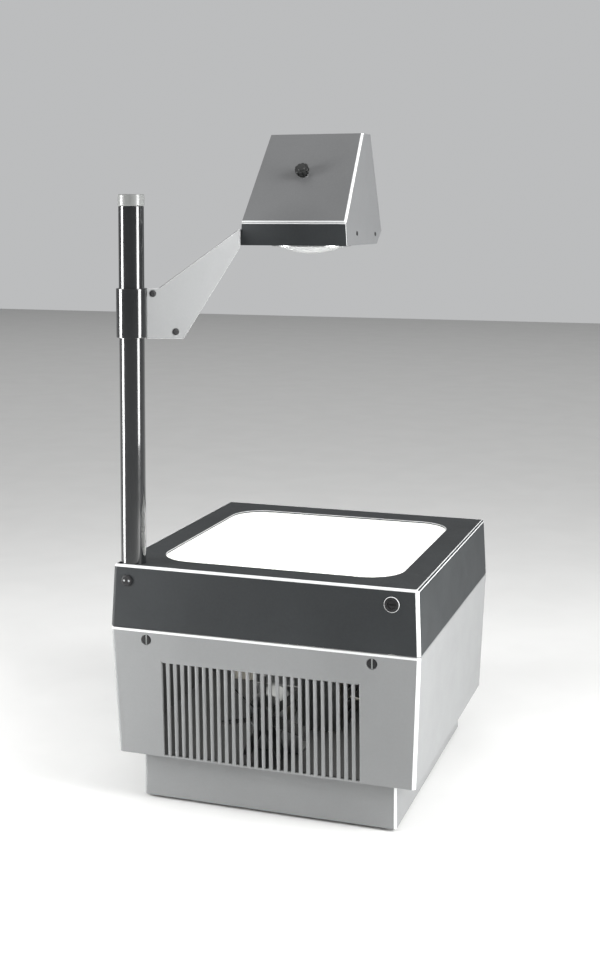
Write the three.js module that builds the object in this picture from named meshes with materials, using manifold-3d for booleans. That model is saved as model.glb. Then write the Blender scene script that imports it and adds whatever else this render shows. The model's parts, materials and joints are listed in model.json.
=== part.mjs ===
// Overhead projector: a tapered casing on a plinth, a hinged stage cover that carries a
// corner post, and a focusing carriage on the post with an arm, a lens and a mirror head.
// Millimetres, +Z up. The origin is the centre of the footprint, at the surface it stands on.
// +X is the right-hand side and -Y the side with the cooling grille and the lock.

import * as THREE from 'three';
import { mergeVertices } from 'three/addons/utils/BufferGeometryUtils.js';
import Module from 'manifold-3d';

const wasm = await Module();
wasm.setup();

// Clearances that every seat, bore and cut shares
const fit = 0.3;
const restGap = 0.2;
const overrun = 20;

// Heights of the stack, from the surface up
const footHeight = 3;
const plinthHeight = 53;
const casingHeight = 146;
const seamGap = 0.8;
const coverHeight = 70.7;

// Casing and cover: both are drafted, and they meet at the seam at their widest
const casingTopWidth = 360;
const casingTopDepth = 366;
const casingDraft = 6.5;
const coverDraft = 3;
const shellWall = 2.5;
const shellCornerRadius = 5;

// Plinth and feet
const plinthSideSetback = 24.5;
const plinthEndSetback = 15.5;
const plinthWall = 2.5;
const plinthCornerRadius = 4;
const footRadius = 12;
const footTipRadius = 11;
const footInset = 20;
const floorVentCount = 9;
const floorVentLength = 90;
const floorVentWidth = 5;
const floorVentPitch = 12;

// Deck that closes the casing below and carries the lamp, the fan and the transformer
const deckThickness = 3;
const deckWindowWidth = 18;
const deckWindowLength = 70;

// Cooling grille in the front of the casing
const grilleSlotCount = 27;
const grillePitch = 8.65;
const grilleSlotWidth = 4.6;
const grilleTopZ = 166;
const grilleSill = 2;
const grilleCentreX = -2.5;

// Stage: mask plate, glass, field lens and the ledge that carries them
const rimWidth = 3.2;
const rimHeight = 0.7;
const maskThickness = 2;
const stageSideMargin = 34.5;
const stageEndMargin = 37.5;
const stageCornerRadius = 40;
const glassLap = 7.5;
const glassThickness = 4;
const fieldLensThickness = 2;
const ledgeWidth = 5;
const ledgeThickness = 2.6;
const ledgeCornerRadius = 30;

// Rear hinge of the cover
const hingeSideMargin = 60;
const hingeKnuckleCount = 5;
const hingeKnuckleGap = 0.5;
const knuckleRadius = 4;
const hingePinRadius = 1.6;
const hingeInset = 4.5;
const hingeLift = 0.5;
const hingeReliefHeight = 5;
const hingeReliefDepth = 5.5;
const leafThickness = 1.5;
const fixedLeafHeight = 27;
const movingLeafHeight = 25;

// Lock in the front of the cover, and the catch in the casing
const lockSideInset = 29;
const lockDropFromTop = 17.5;
const lockSeatDepth = 1.2;
const lockRingRadius = 8.5;
const lockRingThickness = 1.6;
const lockSleeveRadius = 6;
const lockSleeveBore = 5.1;
const lockSleeveLength = 4;
const lockBarrelRadius = 4.8;
const lockFaceRecess = 0.8;
const lockSlotWidth = 1.4;
const lockSlotDepth = 1;
const lockSlotLength = 7;
const tongueSetback = 9.5;
const tongueThickness = 2;
const tongueWidth = 7;
const tongueReach = 62;
const toeHeight = 4;
const toeDepth = 5;
const catchLipWidth = 10;
const catchLipThickness = 2;
const catchLipReach = 7;
const catchLegHeight = 24;
const toeGap = 0.5;

// Screws that show in the casing front and the post's clamp screw
const casingScrewLeftInset = 44;
const casingScrewRightInset = 53;
const casingScrewDrop = 11.5;
const casingScrewHeadRadius = 5.5;
const casingScrewHeadThickness = 1.3;
const casingScrewShankRadius = 2.5;
const casingScrewShankLength = 8;
const screwSlotWidth = 1.5;
const screwSlotDepth = 0.7;
const clampScrewHeadRadius = 6.3;
const clampScrewHeadThickness = 1.6;
const clampScrewShankRadius = 3;
const clampScrewShankLength = 3;

// Post, its socket in the cover's corner, its rack and its cap
const postRadius = 14.3;
const postWall = 2;
const postTopZ = 677;
const capHeight = 13.5;
const capRadius = 14.9;
const capEdgeShare = 0.125;
const socketFloorThickness = 4;
const socketHeight = 50;
const socketOuterShare = 0.57;
const socketInnerWidth = 24;

// Focusing drive: rack in the post, pinion and knob on the carriage
const gearModule = 1;
const pinionTeeth = 14;
const addendumShare = 0.8;
const dedendumShare = 1.15;
const backlash = 0.3;
const pressureAngle = THREE.MathUtils.degToRad(20);
const rackWidth = 4;
const rackThickness = 4;
const rackOffset = 5;
const rackTipInset = 0.3;
const focusTravelUp = 75;
const focusTravelDown = 110;
const pinionFaceWidth = 3.6;
const pinionShaftRadius = 3;
const driveAxisZ = 556;
const driveHousingReach = 60;
const driveHousingMargin = 2;
const driveCavityGap = 0.8;
const focusKnobRadius = 13.5;
const focusKnobDepth = 14;
const focusKnobGrips = 12;
const focusKnobGripRadius = 1.8;
const focusKnobShaftDepth = 10;

// Collar and arm of the carriage
const collarBottomZ = 529.6;
const collarHeight = 55.4;
const collarWall = 2.9;
const armThickness = 3;
const armCollarTopZ = 584.2;
const armShoulderReach = 33;
const armTipTopZ = 650.4;
const armTipBottomZ = 629;
const armHeelReach = 62;
const armHeelZ = 525.6;
const armCollarBottomZ = 527.4;
const armFlangeLength = 46;

// Head: a wedge with a slope that lies over the mirror
const headBottomZ = 632;
const headHalfWidth = 64.6;
const headTopHalfWidth = 58;
const headFrontY = -69;
const headBandHeight = 27;
const headHeight = 132.5;
const ridgeFrontY = 19;
const ridgeRearY = 52;
const headRearY = 83;
const headRearZ = 16;
const headChamferY = 59;
const headWall = 2.5;
const exitHalfWidth = 49;
const exitBottomZ = 26;
const exitTopZ = 114;
const lensBoardThickness = 3;
const lensBoardRearY = 54;
const bandThickness = 2.7;

// Objective lens and its ring, on the optical axis at x = 0, y = 0
const lensRadius = 45;
const lensEdge = 3;
const lensCurve = 99;
const lensRingWall = 2;
const lensRingLip = 1.8;
const lensRingLipThickness = 1;
const lensRingLipGap = 1.1;
const lensRingFlange = 4;

// Mirror, its carrier, its axle and the adjusting screw through the slope
const mirrorDepth = 16;
const mirrorHalfWidth = 52;
const mirrorStart = 16;
const mirrorEnd = 122;
const mirrorGlassThickness = 4;
const carrierThickness = 2;
const axleAlongSlope = 12;
const axleRadius = 2;
const carrierKnuckleRadius = 4;
const carrierKnuckleLength = 14;
const carrierKnuckleX = 40;
const screwAlongSlope = 73.6;
const screwX = -3;
const spindleRadius = 2;
const footPadRadius = 4.5;
const footPadThickness = 4;
const footPadBoreDepth = 2.4;
const footPadGap = 0.4;
const bushRadius = 5;
const bushFlangeRadius = 7;
const bushFlangeThickness = 1;
const bushInnerLength = 5;
const mirrorKnobRadius = 8.3;
const mirrorKnobBottom = 4.4;
const mirrorKnobHeight = 6;
const mirrorKnobNoseRadius = 4.5;
const mirrorKnobNoseHeight = 1.6;
const mirrorKnobGrips = 10;
const mirrorKnobGripRadius = 1.2;

// Lamp house, lamp, reflector and condenser, all on the optical axis
const lampHouseSize = 104;
const lampHouseHeight = 80;
const lampHouseWall = 1.5;
const lampHouseHoleRadius = 35;
const lampHouseVentCount = 3;
const lampHouseVentWidth = 4;
const lampHouseVentLength = 50;
const lampHouseVentPitch = 14;
const lampHouseVentZ = 12;
const lampHeight = 33;
const lampBulbRadius = 6.5;
const lampBulbLength = 40;
const lampBaseRadius = 5;
const lampBaseLength = 9;
const socketBlockWidth = 16;
const socketBlockSize = 22;
const reflectorRadius = 31.5;
const reflectorRimRadius = 27;
const reflectorWall = 1.5;
const heatFilterSize = 78;
const heatFilterThickness = 3;
const condenserRadius = 40;
const condenserEdge = 4;
const condenserCurve = 72;
const condenserRingWall = 9;
const condenserRingFloor = 4;
const condenserRingLip = 4;

// Fan behind the grille
const fanAxisZ = 112;
const fanMotorRadius = 24;
const fanMotorLength = 34;
const fanShaftRadius = 2.5;
const fanShaftLength = 12;
const fanGrilleGap = 3;
const fanHubRadius = 13;
const fanHubLength = 11;
const fanBladeCount = 7;
const fanTipRadius = 49;
const fanBladeThickness = 1.6;
const fanBladePitch = THREE.MathUtils.degToRad(32);
const fanBracketThickness = 2;
const fanBracketWidth = 58;
const fanFootLength = 34;

// Transformer on the right and the terminal block on the left
const coreWidth = 84;
const coreHeight = 70;
const coreDepth = 36;
const coreLegWidth = 28;
const coreWindowWidth = 14;
const coreWindowHeight = 42;
const coilWall = 13;
const transformerY = 20;
const terminalWidth = 52;
const terminalDepth = 18;
const terminalHeight = 16;
const terminalRearSetback = 80.5;
const terminalPoleCount = 4;
const terminalScrewRadius = 3;
const terminalScrewDepth = 5;

// Leads between the inlet, the terminal block, the transformer and the lamp
const leadRadius = 1.6;
const leadEndRun = 12;
const leadRearRun = 42;
const leadDeckLift = 6;

// Mains inlet, fuse cap and rocker switch in the rear wall
const rearPanelZ = 85;
const inletSideInset = 61.5;
const inletWidth = 28;
const inletHeight = 21;
const inletDepth = 22;
const inletWall = 2;
const inletFlangeMargin = 6;
const inletFlangeThickness = 2;
const inletBladeWidth = 5;
const inletBladeThickness = 2;
const inletBladeLength = 11;
const inletBladePitch = 7;
const fuseSideInset = 107.5;
const fuseCapRadius = 8;
const fuseCapThickness = 3.4;
const fuseBodyRadius = 6;
const fuseBodyLength = 30;
const switchSideInset = 61.5;
const switchWidth = 18;
const switchHeight = 30;
const switchDepth = 18;
const switchWall = 2;
const switchFlangeMargin = 3;
const switchFlangeThickness = 1.6;
const rockerHalfHeight = 12;
const rockerRise = 1.3;
const rockerDip = 0.3;
const rockerRootHalfHeight = 8.5;
const rockerRootDepth = 7;
const rockerPivotDepth = 3;
const rockerSideGap = 0.4;
const rockerTilt = THREE.MathUtils.degToRad(7);

// Rounding steps
const roundSteps = 28;
const smallRoundSteps = 16;
const cornerSteps = 3;
const stageCornerSteps = 9;
const lensSteps = 5;
const gripSteps = 8;
const leadSides = 8;
const leadSteps = 28;
const flankSteps = 2;
const mergeDistance = 1e-4;

// Outlines that follow from the casing's top, from the table up to the stage
const casingBottomWidth = casingTopWidth - 2 * casingDraft;
const casingBottomDepth = casingTopDepth - 2 * casingDraft;
const coverTopWidth = casingTopWidth - 2 * coverDraft;
const coverTopDepth = casingTopDepth - 2 * coverDraft;
const plinthWidth = casingBottomWidth - 2 * plinthSideSetback;
const plinthDepth = casingBottomDepth - 2 * plinthEndSetback;
const stageWidth = coverTopWidth - 2 * stageSideMargin;
const stageDepth = coverTopDepth - 2 * stageEndMargin;
const glassWidth = stageWidth + 2 * glassLap;
const glassDepth = stageDepth + 2 * glassLap;
const hingeLength = casingTopWidth - 2 * hingeSideMargin;

// Places of the fittings, in from the walls that carry them
const lockX = coverTopWidth / 2 - lockSideInset;
const casingScrewLeftX = casingScrewLeftInset - casingTopWidth / 2;
const casingScrewRightX = casingTopWidth / 2 - casingScrewRightInset;
const inletX = inletSideInset - casingBottomWidth / 2;
const fuseX = casingBottomWidth / 2 - fuseSideInset;
const switchX = casingBottomWidth / 2 - switchSideInset;
const terminalX = inletX;
const terminalY = casingBottomDepth / 2 - terminalRearSetback;
const transformerX = (lampHouseSize / 2 + casingBottomWidth / 2 - shellWall) / 2;

// Levels and places that follow from the sizes
const deckZ = footHeight + plinthHeight;
const deckTopZ = deckZ + deckThickness;
const seamZ = deckZ + casingHeight;
const coverBottomZ = seamZ + seamGap;
const coverTopZ = coverBottomZ + coverHeight;
const maskTopZ = coverTopZ - rimHeight;
const maskBottomZ = maskTopZ - maskThickness;
const glassBottomZ = maskBottomZ - restGap - glassThickness;
const fieldLensBottomZ = glassBottomZ - restGap - fieldLensThickness;
const ledgeTopZ = fieldLensBottomZ - restGap;
const shoulderBottomZ = ledgeTopZ - ledgeThickness;
const postX = -(coverTopWidth / 2 - shellWall - fit - postRadius);
const postY = -(coverTopDepth / 2 - shellWall - fit - postRadius);
const lockZ = coverTopZ - lockDropFromTop;
const hingeAxisY = casingTopDepth / 2 - hingeInset;
const hingeAxisZ = seamZ + knuckleRadius + hingeLift;
const socketTopZ = shoulderBottomZ - restGap;
const socketBottomZ = socketTopZ - socketHeight;
const postBottomZ = socketBottomZ + socketFloorThickness + restGap;
const armEndX = -(headHalfWidth + fit + armThickness / 2);
const armAngle = Math.atan2(headFrontY - postY, armEndX - postX);
const armLength = Math.hypot(headFrontY - postY, armEndX - postX);
const slopeAngle = Math.atan2(headHeight - headBandHeight, ridgeFrontY - headFrontY);
const pitchRadius = (gearModule * pinionTeeth) / 2;
const screwPocketDepth = casingScrewHeadThickness + fit;
const rackTipX = Math.sqrt(postRadius ** 2 - (rackOffset + rackWidth / 2) ** 2) - rackTipInset;
const pitchLineX = rackTipX - gearModule * addendumShare;
const pinionX = pitchLineX + pitchRadius;

// Half width or depth of a drafted wall at a height
function draftedHalf(lowSize, lowZ, highSize, highZ, z) {
  return (lowSize + ((highSize - lowSize) * (z - lowZ)) / (highZ - lowZ)) / 2;
}

function casingHalfDepth(z) {
  return draftedHalf(casingBottomDepth, deckZ, casingTopDepth, seamZ, z);
}

function coverHalfDepth(z) {
  return draftedHalf(casingTopDepth, coverBottomZ, coverTopDepth, coverTopZ, z);
}

// A closed geometry as a solid, moved by a matrix if one is given
function solidOf(geometry, matrix) {
  const plain = geometry.index ? geometry.toNonIndexed() : geometry.clone();
  plain.deleteAttribute('normal');
  plain.deleteAttribute('uv');
  if (matrix) plain.applyMatrix4(matrix);
  const merged = mergeVertices(plain, mergeDistance);
  const mesh = new wasm.Mesh({
    numProp: 3,
    vertProperties: new Float32Array(merged.attributes.position.array),
    triVerts: new Uint32Array(merged.index.array),
  });
  mesh.merge();
  return new wasm.Manifold(mesh);
}

function geometryOf(solid) {
  const mesh = solid.getMesh();
  const geometry = new THREE.BufferGeometry();
  geometry.setAttribute('position', new THREE.BufferAttribute(mesh.vertProperties, mesh.numProp));
  geometry.setIndex(new THREE.BufferAttribute(mesh.triVerts, 1));
  geometry.computeVertexNormals();
  return geometry;
}

function carve(body, cuts) {
  return cuts.reduce((rest, cut) => rest.subtract(cut), body);
}

function weld(parts) {
  return parts.reduce((whole, part) => whole.add(part));
}

// A block between two corners
function blockGeometry(low, high) {
  const geometry = new THREE.BoxGeometry(high[0] - low[0], high[1] - low[1], high[2] - low[2]);
  geometry.translate((low[0] + high[0]) / 2, (low[1] + high[1]) / 2, (low[2] + high[2]) / 2);
  return geometry;
}

function block(low, high) {
  return solidOf(blockGeometry(low, high));
}

// A round bar along an axis, from one place on that axis to another
function barGeometry(axis, radius, from, to, across = [0, 0], steps = roundSteps) {
  const geometry = new THREE.CylinderGeometry(radius, radius, to - from, steps);
  geometry.translate(0, (from + to) / 2, 0);
  if (axis === 'x') {
    geometry.rotateZ(-Math.PI / 2);
    geometry.translate(0, across[0], across[1]);
  } else if (axis === 'z') {
    geometry.rotateX(Math.PI / 2);
    geometry.translate(across[0], across[1], 0);
  } else {
    geometry.translate(across[0], 0, across[1]);
  }
  return geometry;
}

function bar(axis, radius, from, to, across, steps) {
  return solidOf(barGeometry(axis, radius, from, to, across, steps));
}

// A rectangle with round corners, centred on the origin
function roundedShape(width, depth, radius) {
  const right = width / 2;
  const back = depth / 2;
  const shape = new THREE.Shape();
  shape.moveTo(radius - right, -back);
  shape.lineTo(right - radius, -back);
  shape.absarc(right - radius, radius - back, radius, -Math.PI / 2, 0);
  shape.lineTo(right, back - radius);
  shape.absarc(right - radius, back - radius, radius, 0, Math.PI / 2);
  shape.lineTo(radius - right, back);
  shape.absarc(radius - right, back - radius, radius, Math.PI / 2, Math.PI);
  shape.lineTo(-right, radius - back);
  shape.absarc(radius - right, radius - back, radius, Math.PI, Math.PI * 1.5);
  return shape;
}

function slabGeometry(width, depth, radius, bottomZ, topZ, steps = cornerSteps) {
  const geometry = new THREE.ExtrudeGeometry(roundedShape(width, depth, radius), {
    depth: topZ - bottomZ,
    bevelEnabled: false,
    curveSegments: steps,
  });
  geometry.translate(0, 0, bottomZ);
  return geometry;
}

function slab(width, depth, radius, bottomZ, topZ, steps) {
  return solidOf(slabGeometry(width, depth, radius, bottomZ, topZ, steps));
}

// A prism with round corners whose sides lean evenly from a low outline to a high one
function draftedPrism(low, high, radius) {
  const geometry = slabGeometry(high.width, high.depth, radius, low.z, high.z);
  const places = geometry.attributes.position;
  for (let i = 0; i < places.count; i += 1) {
    const share = (places.getZ(i) - low.z) / (high.z - low.z);
    const width = low.width + (high.width - low.width) * share;
    const depth = low.depth + (high.depth - low.depth) * share;
    places.setX(i, (places.getX(i) * width) / high.width);
    places.setY(i, (places.getY(i) * depth) / high.depth);
  }
  return solidOf(geometry);
}

// The same draft, carried past both ends and pulled in by a wall, as the hollow of a shell
function draftedHollow(low, high, wall, fromZ, toZ) {
  const outline = (z) => ({
    width: 2 * (draftedHalf(low.width, low.z, high.width, high.z, z) - wall),
    depth: 2 * (draftedHalf(low.depth, low.z, high.depth, high.z, z) - wall),
    z,
  });
  return draftedPrism(outline(fromZ), outline(toZ), shellCornerRadius - wall);
}

// A flat outline in the Y-Z plane, given as [y, z] points and run along X
function profileAlongX(points, fromX, toX) {
  const shape = new THREE.Shape(points.map(([y, z]) => new THREE.Vector2(y, z)));
  const geometry = new THREE.ExtrudeGeometry(shape, { depth: toX - fromX, bevelEnabled: false });
  geometry.applyMatrix4(new THREE.Matrix4().set(0, 0, 1, fromX, 1, 0, 0, 0, 0, 1, 0, 0, 0, 0, 0, 1));
  return geometry;
}

// A flat outline in the X-Z plane, given as [x, z] points and run along Y
function profileAlongY(points, fromY, toY) {
  const shape = new THREE.Shape(points.map(([x, z]) => new THREE.Vector2(x, z)));
  const geometry = new THREE.ExtrudeGeometry(shape, { depth: toY - fromY, bevelEnabled: false });
  geometry.applyMatrix4(new THREE.Matrix4().set(1, 0, 0, 0, 0, 0, -1, toY, 0, 1, 0, 0, 0, 0, 0, 1));
  return geometry;
}

// A turned piece about Z from [radius, z] points; the outline closes on itself or on the axis
function turned(points, steps = roundSteps) {
  const closed = points[0][0] === 0 ? points : [...points, points[0]];
  const outline = closed.map(([radius, z]) => new THREE.Vector2(radius, z));
  const geometry = new THREE.LatheGeometry(outline, steps);
  geometry.rotateX(Math.PI / 2);
  const solid = solidOf(geometry);
  return solid.volume() > 0 ? solid : solidOf(flipped(geometry));
}

function flipped(geometry) {
  const plain = geometry.toNonIndexed();
  const places = plain.attributes.position;
  const first = new THREE.Vector3();
  const second = new THREE.Vector3();
  for (let i = 0; i < places.count; i += 3) {
    first.fromBufferAttribute(places, i + 1);
    second.fromBufferAttribute(places, i + 2);
    places.setXYZ(i + 1, second.x, second.y, second.z);
    places.setXYZ(i + 2, first.x, first.y, first.z);
  }
  return plain;
}

// Points on a shallow dome from the axis to a radius, at a height above the dome's edge
function domePoints(radius, curve, edgeZ, direction) {
  const centre = Math.sqrt(curve ** 2 - radius ** 2);
  const points = [];
  for (let i = 0; i <= lensSteps; i += 1) {
    const place = (radius * i) / lensSteps;
    points.push([place, edgeZ + direction * (Math.sqrt(curve ** 2 - place ** 2) - centre)]);
  }
  return points;
}

// Finishes
function finish(color, roughness, metalness) {
  return new THREE.MeshStandardMaterial({ color, roughness, metalness });
}

const greyPaint = () => finish('#b9bab8', 0.55, 0);
const blackPaint = () => finish('#2b2f31', 0.5, 0);
const steel = () => finish('#c3c5c6', 0.32, 1);
const sheetSteel = () => finish('#a5a7a6', 0.45, 1);
const blackSteel = () => finish('#3a3c3d', 0.45, 0.6);
const castAlloy = () => finish('#8f9290', 0.5, 0.8);
const rubber = () => finish('#1f2020', 0.9, 0);
const clearGlass = () => finish('#e9f1ee', 0.05, 0);
const brass = () => finish('#b69a54', 0.35, 1);
const ceramic = () => finish('#e8e4d8', 0.6, 0);
const blackPlastic = () => finish('#222425', 0.4, 0);
const copperTape = () => finish('#a7762f', 0.6, 0);
const silvered = () => finish('#e4e8e9', 0.04, 1);

function piece(name, shape, material) {
  const geometry = shape.isBufferGeometry ? shape : geometryOf(shape);
  const mesh = new THREE.Mesh(geometry, material);
  mesh.name = name;
  return mesh;
}

// Group on the outside of a drafted wall: local +Y points out and local +Z up the wall
function wallGroup(x, z, halfDepthAt, side) {
  const group = new THREE.Group();
  const lean = Math.atan(halfDepthAt(z + overrun) / overrun - halfDepthAt(z) / overrun);
  group.position.set(x, side * halfDepthAt(z), z);
  group.rotation.set(-lean, 0, side > 0 ? 0 : Math.PI, 'ZXY');
  group.updateMatrix();
  return group;
}

function inGroup(group, geometry) {
  return solidOf(geometry, group.matrix);
}

const casingLow = { width: casingBottomWidth, depth: casingBottomDepth, z: deckZ };
const casingHigh = { width: casingTopWidth, depth: casingTopDepth, z: seamZ };
const coverLow = { width: casingTopWidth, depth: casingTopDepth, z: coverBottomZ };
const coverHigh = { width: coverTopWidth, depth: coverTopDepth, z: coverTopZ };

// Plinth: an open tray with intake vents in its floor
function plinthTray() {
  const outer = slab(plinthWidth, plinthDepth, plinthCornerRadius, footHeight, deckZ - restGap);
  const hollow = slab(
    plinthWidth - 2 * plinthWall,
    plinthDepth - 2 * plinthWall,
    plinthCornerRadius - plinthWall,
    footHeight + plinthWall,
    deckZ + overrun,
  );
  const cuts = [hollow];
  for (let i = 0; i < floorVentCount; i += 1) {
    const x = (i - (floorVentCount - 1) / 2) * floorVentPitch;
    const left = x - floorVentWidth / 2;
    const right = x + floorVentWidth / 2;
    cuts.push(
      block([left, -floorVentLength / 2, -overrun], [right, floorVentLength / 2, footHeight + overrun]),
    );
  }
  return piece('plinth_tray', carve(outer, cuts), greyPaint());
}

function rubberFoot(name, x, y) {
  const outline = [
    [0, 0],
    [footTipRadius, 0],
    [footRadius, footHeight - restGap],
    [0, footHeight - restGap],
  ];
  const foot = piece(name, turned(outline, smallRoundSteps), rubber());
  foot.position.set(x, y, 0);
  return foot;
}

function rubberFeet() {
  const x = plinthWidth / 2 - footInset;
  const y = plinthDepth / 2 - footInset;
  return [
    rubberFoot('foot_front_left', -x, -y),
    rubberFoot('foot_front_right', x, -y),
    rubberFoot('foot_rear_left', -x, y),
    rubberFoot('foot_rear_right', x, y),
  ];
}

function chassisDeck() {
  const inset = shellWall + fit;
  const plate = slab(
    casingBottomWidth - 2 * inset,
    casingBottomDepth - 2 * inset,
    shellCornerRadius - shellWall,
    deckZ,
    deckTopZ,
  );
  const windowX = lampHouseSize / 2 - lampHouseWall - deckWindowWidth / 2 - 2 * fit;
  const windows = [-windowX, windowX].map((x) =>
    block(
      [x - deckWindowWidth / 2, -deckWindowLength / 2, deckZ - overrun],
      [x + deckWindowWidth / 2, deckWindowLength / 2, deckTopZ + overrun],
    ),
  );
  return piece('chassis_deck', carve(plate, windows), sheetSteel());
}

// Casing: four drafted walls with the grille, the screw seats and the rear panel's cut-outs
function casingShell(frontScrews, inlet, fuse, rocker) {
  const outer = draftedPrism(casingLow, casingHigh, shellCornerRadius);
  const hollow = draftedHollow(casingLow, casingHigh, shellWall, deckZ - overrun, seamZ + overrun);
  const cuts = [hollow];
  const sillZ = deckZ + grilleSill;
  for (let i = 0; i < grilleSlotCount; i += 1) {
    const x = grilleCentreX + (i - (grilleSlotCount - 1) / 2) * grillePitch;
    const front = -casingTopDepth / 2 - overrun;
    const back = -casingBottomDepth / 2 + overrun;
    cuts.push(
      block([x - grilleSlotWidth / 2, front, sillZ], [x + grilleSlotWidth / 2, back, grilleTopZ]),
    );
  }
  frontScrews.forEach((seat) => {
    const pocket = barGeometry('y', casingScrewHeadRadius + 2 * fit, -screwPocketDepth, overrun);
    const hole = barGeometry('y', casingScrewShankRadius + fit, -overrun, overrun);
    cuts.push(inGroup(seat, pocket), inGroup(seat, hole));
  });
  const inletHole = blockGeometry(
    [-inletWidth / 2 - fit, -overrun, -inletHeight / 2 - fit],
    [inletWidth / 2 + fit, overrun, inletHeight / 2 + fit],
  );
  const switchHole = blockGeometry(
    [-switchWidth / 2 - fit, -overrun, -switchHeight / 2 - fit],
    [switchWidth / 2 + fit, overrun, switchHeight / 2 + fit],
  );
  cuts.push(inGroup(inlet, inletHole));
  cuts.push(inGroup(fuse, barGeometry('y', fuseBodyRadius + fit, -overrun, overrun)));
  cuts.push(inGroup(rocker, switchHole));
  return piece('casing_shell', carve(outer, cuts), greyPaint());
}

// Slotted screw with its axis along local Y and its head outwards
function slottedScrew(name, headFrom, headRadius, headThickness, shankRadius, shankLength, material) {
  const headTo = headFrom + headThickness;
  const body = weld([
    bar('y', headRadius, headFrom, headTo, [0, 0], smallRoundSteps),
    bar('y', shankRadius, headFrom - shankLength, headFrom + headThickness / 2, [0, 0], smallRoundSteps),
  ]);
  const slot = block(
    [-screwSlotWidth / 2, headTo - screwSlotDepth, -headRadius - overrun],
    [screwSlotWidth / 2, headTo + overrun, headRadius + overrun],
  );
  return piece(name, body.subtract(slot), material);
}

function casingScrew(name) {
  return slottedScrew(
    name,
    fit - screwPocketDepth,
    casingScrewHeadRadius,
    casingScrewHeadThickness,
    casingScrewShankRadius,
    casingScrewShankLength,
    blackSteel(),
  );
}

// Mains inlet: a hollow socket body with a flange and three blades
function powerInlet() {
  const halfWidth = inletWidth / 2;
  const halfHeight = inletHeight / 2;
  const margin = inletFlangeMargin;
  const flange = block(
    [-halfWidth - margin, fit, -halfHeight - margin],
    [halfWidth + margin, fit + inletFlangeThickness, halfHeight + margin],
  );
  const body = block([-halfWidth, -inletDepth, -halfHeight], [halfWidth, 2 * fit, halfHeight]);
  const cavity = block(
    [inletWall - halfWidth, inletWall - inletDepth, inletWall - halfHeight],
    [halfWidth - inletWall, overrun, halfHeight - inletWall],
  );
  const blades = [-inletBladePitch, 0, inletBladePitch].map((x) =>
    block(
      [x - inletBladeThickness / 2, -inletDepth + inletWall / 2, -inletBladeWidth / 2],
      [x + inletBladeThickness / 2, inletBladeLength - inletDepth, inletBladeWidth / 2],
    ),
  );
  return piece('power_inlet', weld([weld([flange, body]).subtract(cavity), ...blades]), blackPlastic());
}

function fuseHolder() {
  const cap = bar('y', fuseCapRadius, fit, fit + fuseCapThickness, [0, 0], smallRoundSteps);
  const body = bar('y', fuseBodyRadius, fit - fuseBodyLength, 2 * fit, [0, 0], smallRoundSteps);
  const slot = block(
    [-fuseBodyRadius, fit + fuseCapThickness - screwSlotDepth, -screwSlotWidth / 2],
    [fuseBodyRadius, overrun, screwSlotWidth / 2],
  );
  return piece('fuse_holder', weld([cap, body]).subtract(slot), blackPlastic());
}

function switchBody() {
  const halfWidth = switchWidth / 2;
  const halfHeight = switchHeight / 2;
  const margin = switchFlangeMargin;
  const flange = block(
    [-halfWidth - margin, fit, -halfHeight - margin],
    [halfWidth + margin, fit + switchFlangeThickness, halfHeight + margin],
  );
  const body = block([-halfWidth, -switchDepth, -halfHeight], [halfWidth, 2 * fit, halfHeight]);
  const cavity = block(
    [switchWall - halfWidth, switchWall - switchDepth, switchWall - halfHeight],
    [halfWidth - switchWall, overrun, halfHeight - switchWall],
  );
  return piece('switch_body', weld([flange, body]).subtract(cavity), blackPlastic());
}

// Rocker: its hinge axis is its own X axis, and it rests with its lower half pressed in
function switchRocker() {
  const pivot = rockerPivotDepth;
  const points = [
    [rockerRise + pivot, -rockerHalfHeight],
    [rockerDip + pivot, 0],
    [rockerRise + pivot, rockerHalfHeight],
    [pivot - rockerPivotDepth, rockerHalfHeight],
    [pivot - rockerRootDepth, rockerRootHalfHeight],
    [pivot - rockerRootDepth, -rockerRootHalfHeight],
    [pivot - rockerPivotDepth, -rockerHalfHeight],
  ];
  const half = switchWidth / 2 - switchWall - rockerSideGap;
  const rocker = piece('switch_rocker', profileAlongX(points, -half, half), blackPlastic());
  rocker.position.set(0, fit + switchFlangeThickness - rockerPivotDepth, 0);
  rocker.rotation.x = -rockerTilt;
  return rocker;
}

// Lamp house: a sheet box, open below, vented at both sides, with a hole for the condenser
function lampHouse() {
  const half = lampHouseSize / 2;
  const inner = half - lampHouseWall;
  const topZ = deckTopZ + restGap + lampHouseHeight;
  const outer = block([-half, -half, deckTopZ + restGap], [half, half, topZ]);
  const cuts = [
    block([-inner, -inner, deckTopZ - overrun], [inner, inner, topZ - lampHouseWall]),
    bar('z', lampHouseHoleRadius, topZ - overrun, topZ + overrun),
  ];
  for (let i = 0; i < lampHouseVentCount; i += 1) {
    const z = deckTopZ + lampHouseVentZ + i * lampHouseVentPitch;
    cuts.push(
      block(
        [-half - overrun, -lampHouseVentLength / 2, z],
        [half + overrun, lampHouseVentLength / 2, z + lampHouseVentWidth],
      ),
    );
  }
  return piece('lamp_house', carve(outer, cuts), sheetSteel());
}

const lampZ = deckTopZ + lampHeight;
const lampSocketY = lampHouseSize / 2 - lampHouseWall - fit;
const lampBaseY = lampSocketY - socketBlockWidth;

function lampSocket() {
  const half = socketBlockSize / 2;
  const body = block([-half, lampBaseY, lampZ - half], [half, lampSocketY, lampZ + half]);
  const boreTo = lampBaseY + lampBaseLength + fit;
  const bore = bar('y', lampBaseRadius + fit, lampBaseY - overrun, boreTo, [0, lampZ]);
  return piece('lamp_socket', body.subtract(bore), ceramic());
}

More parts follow.
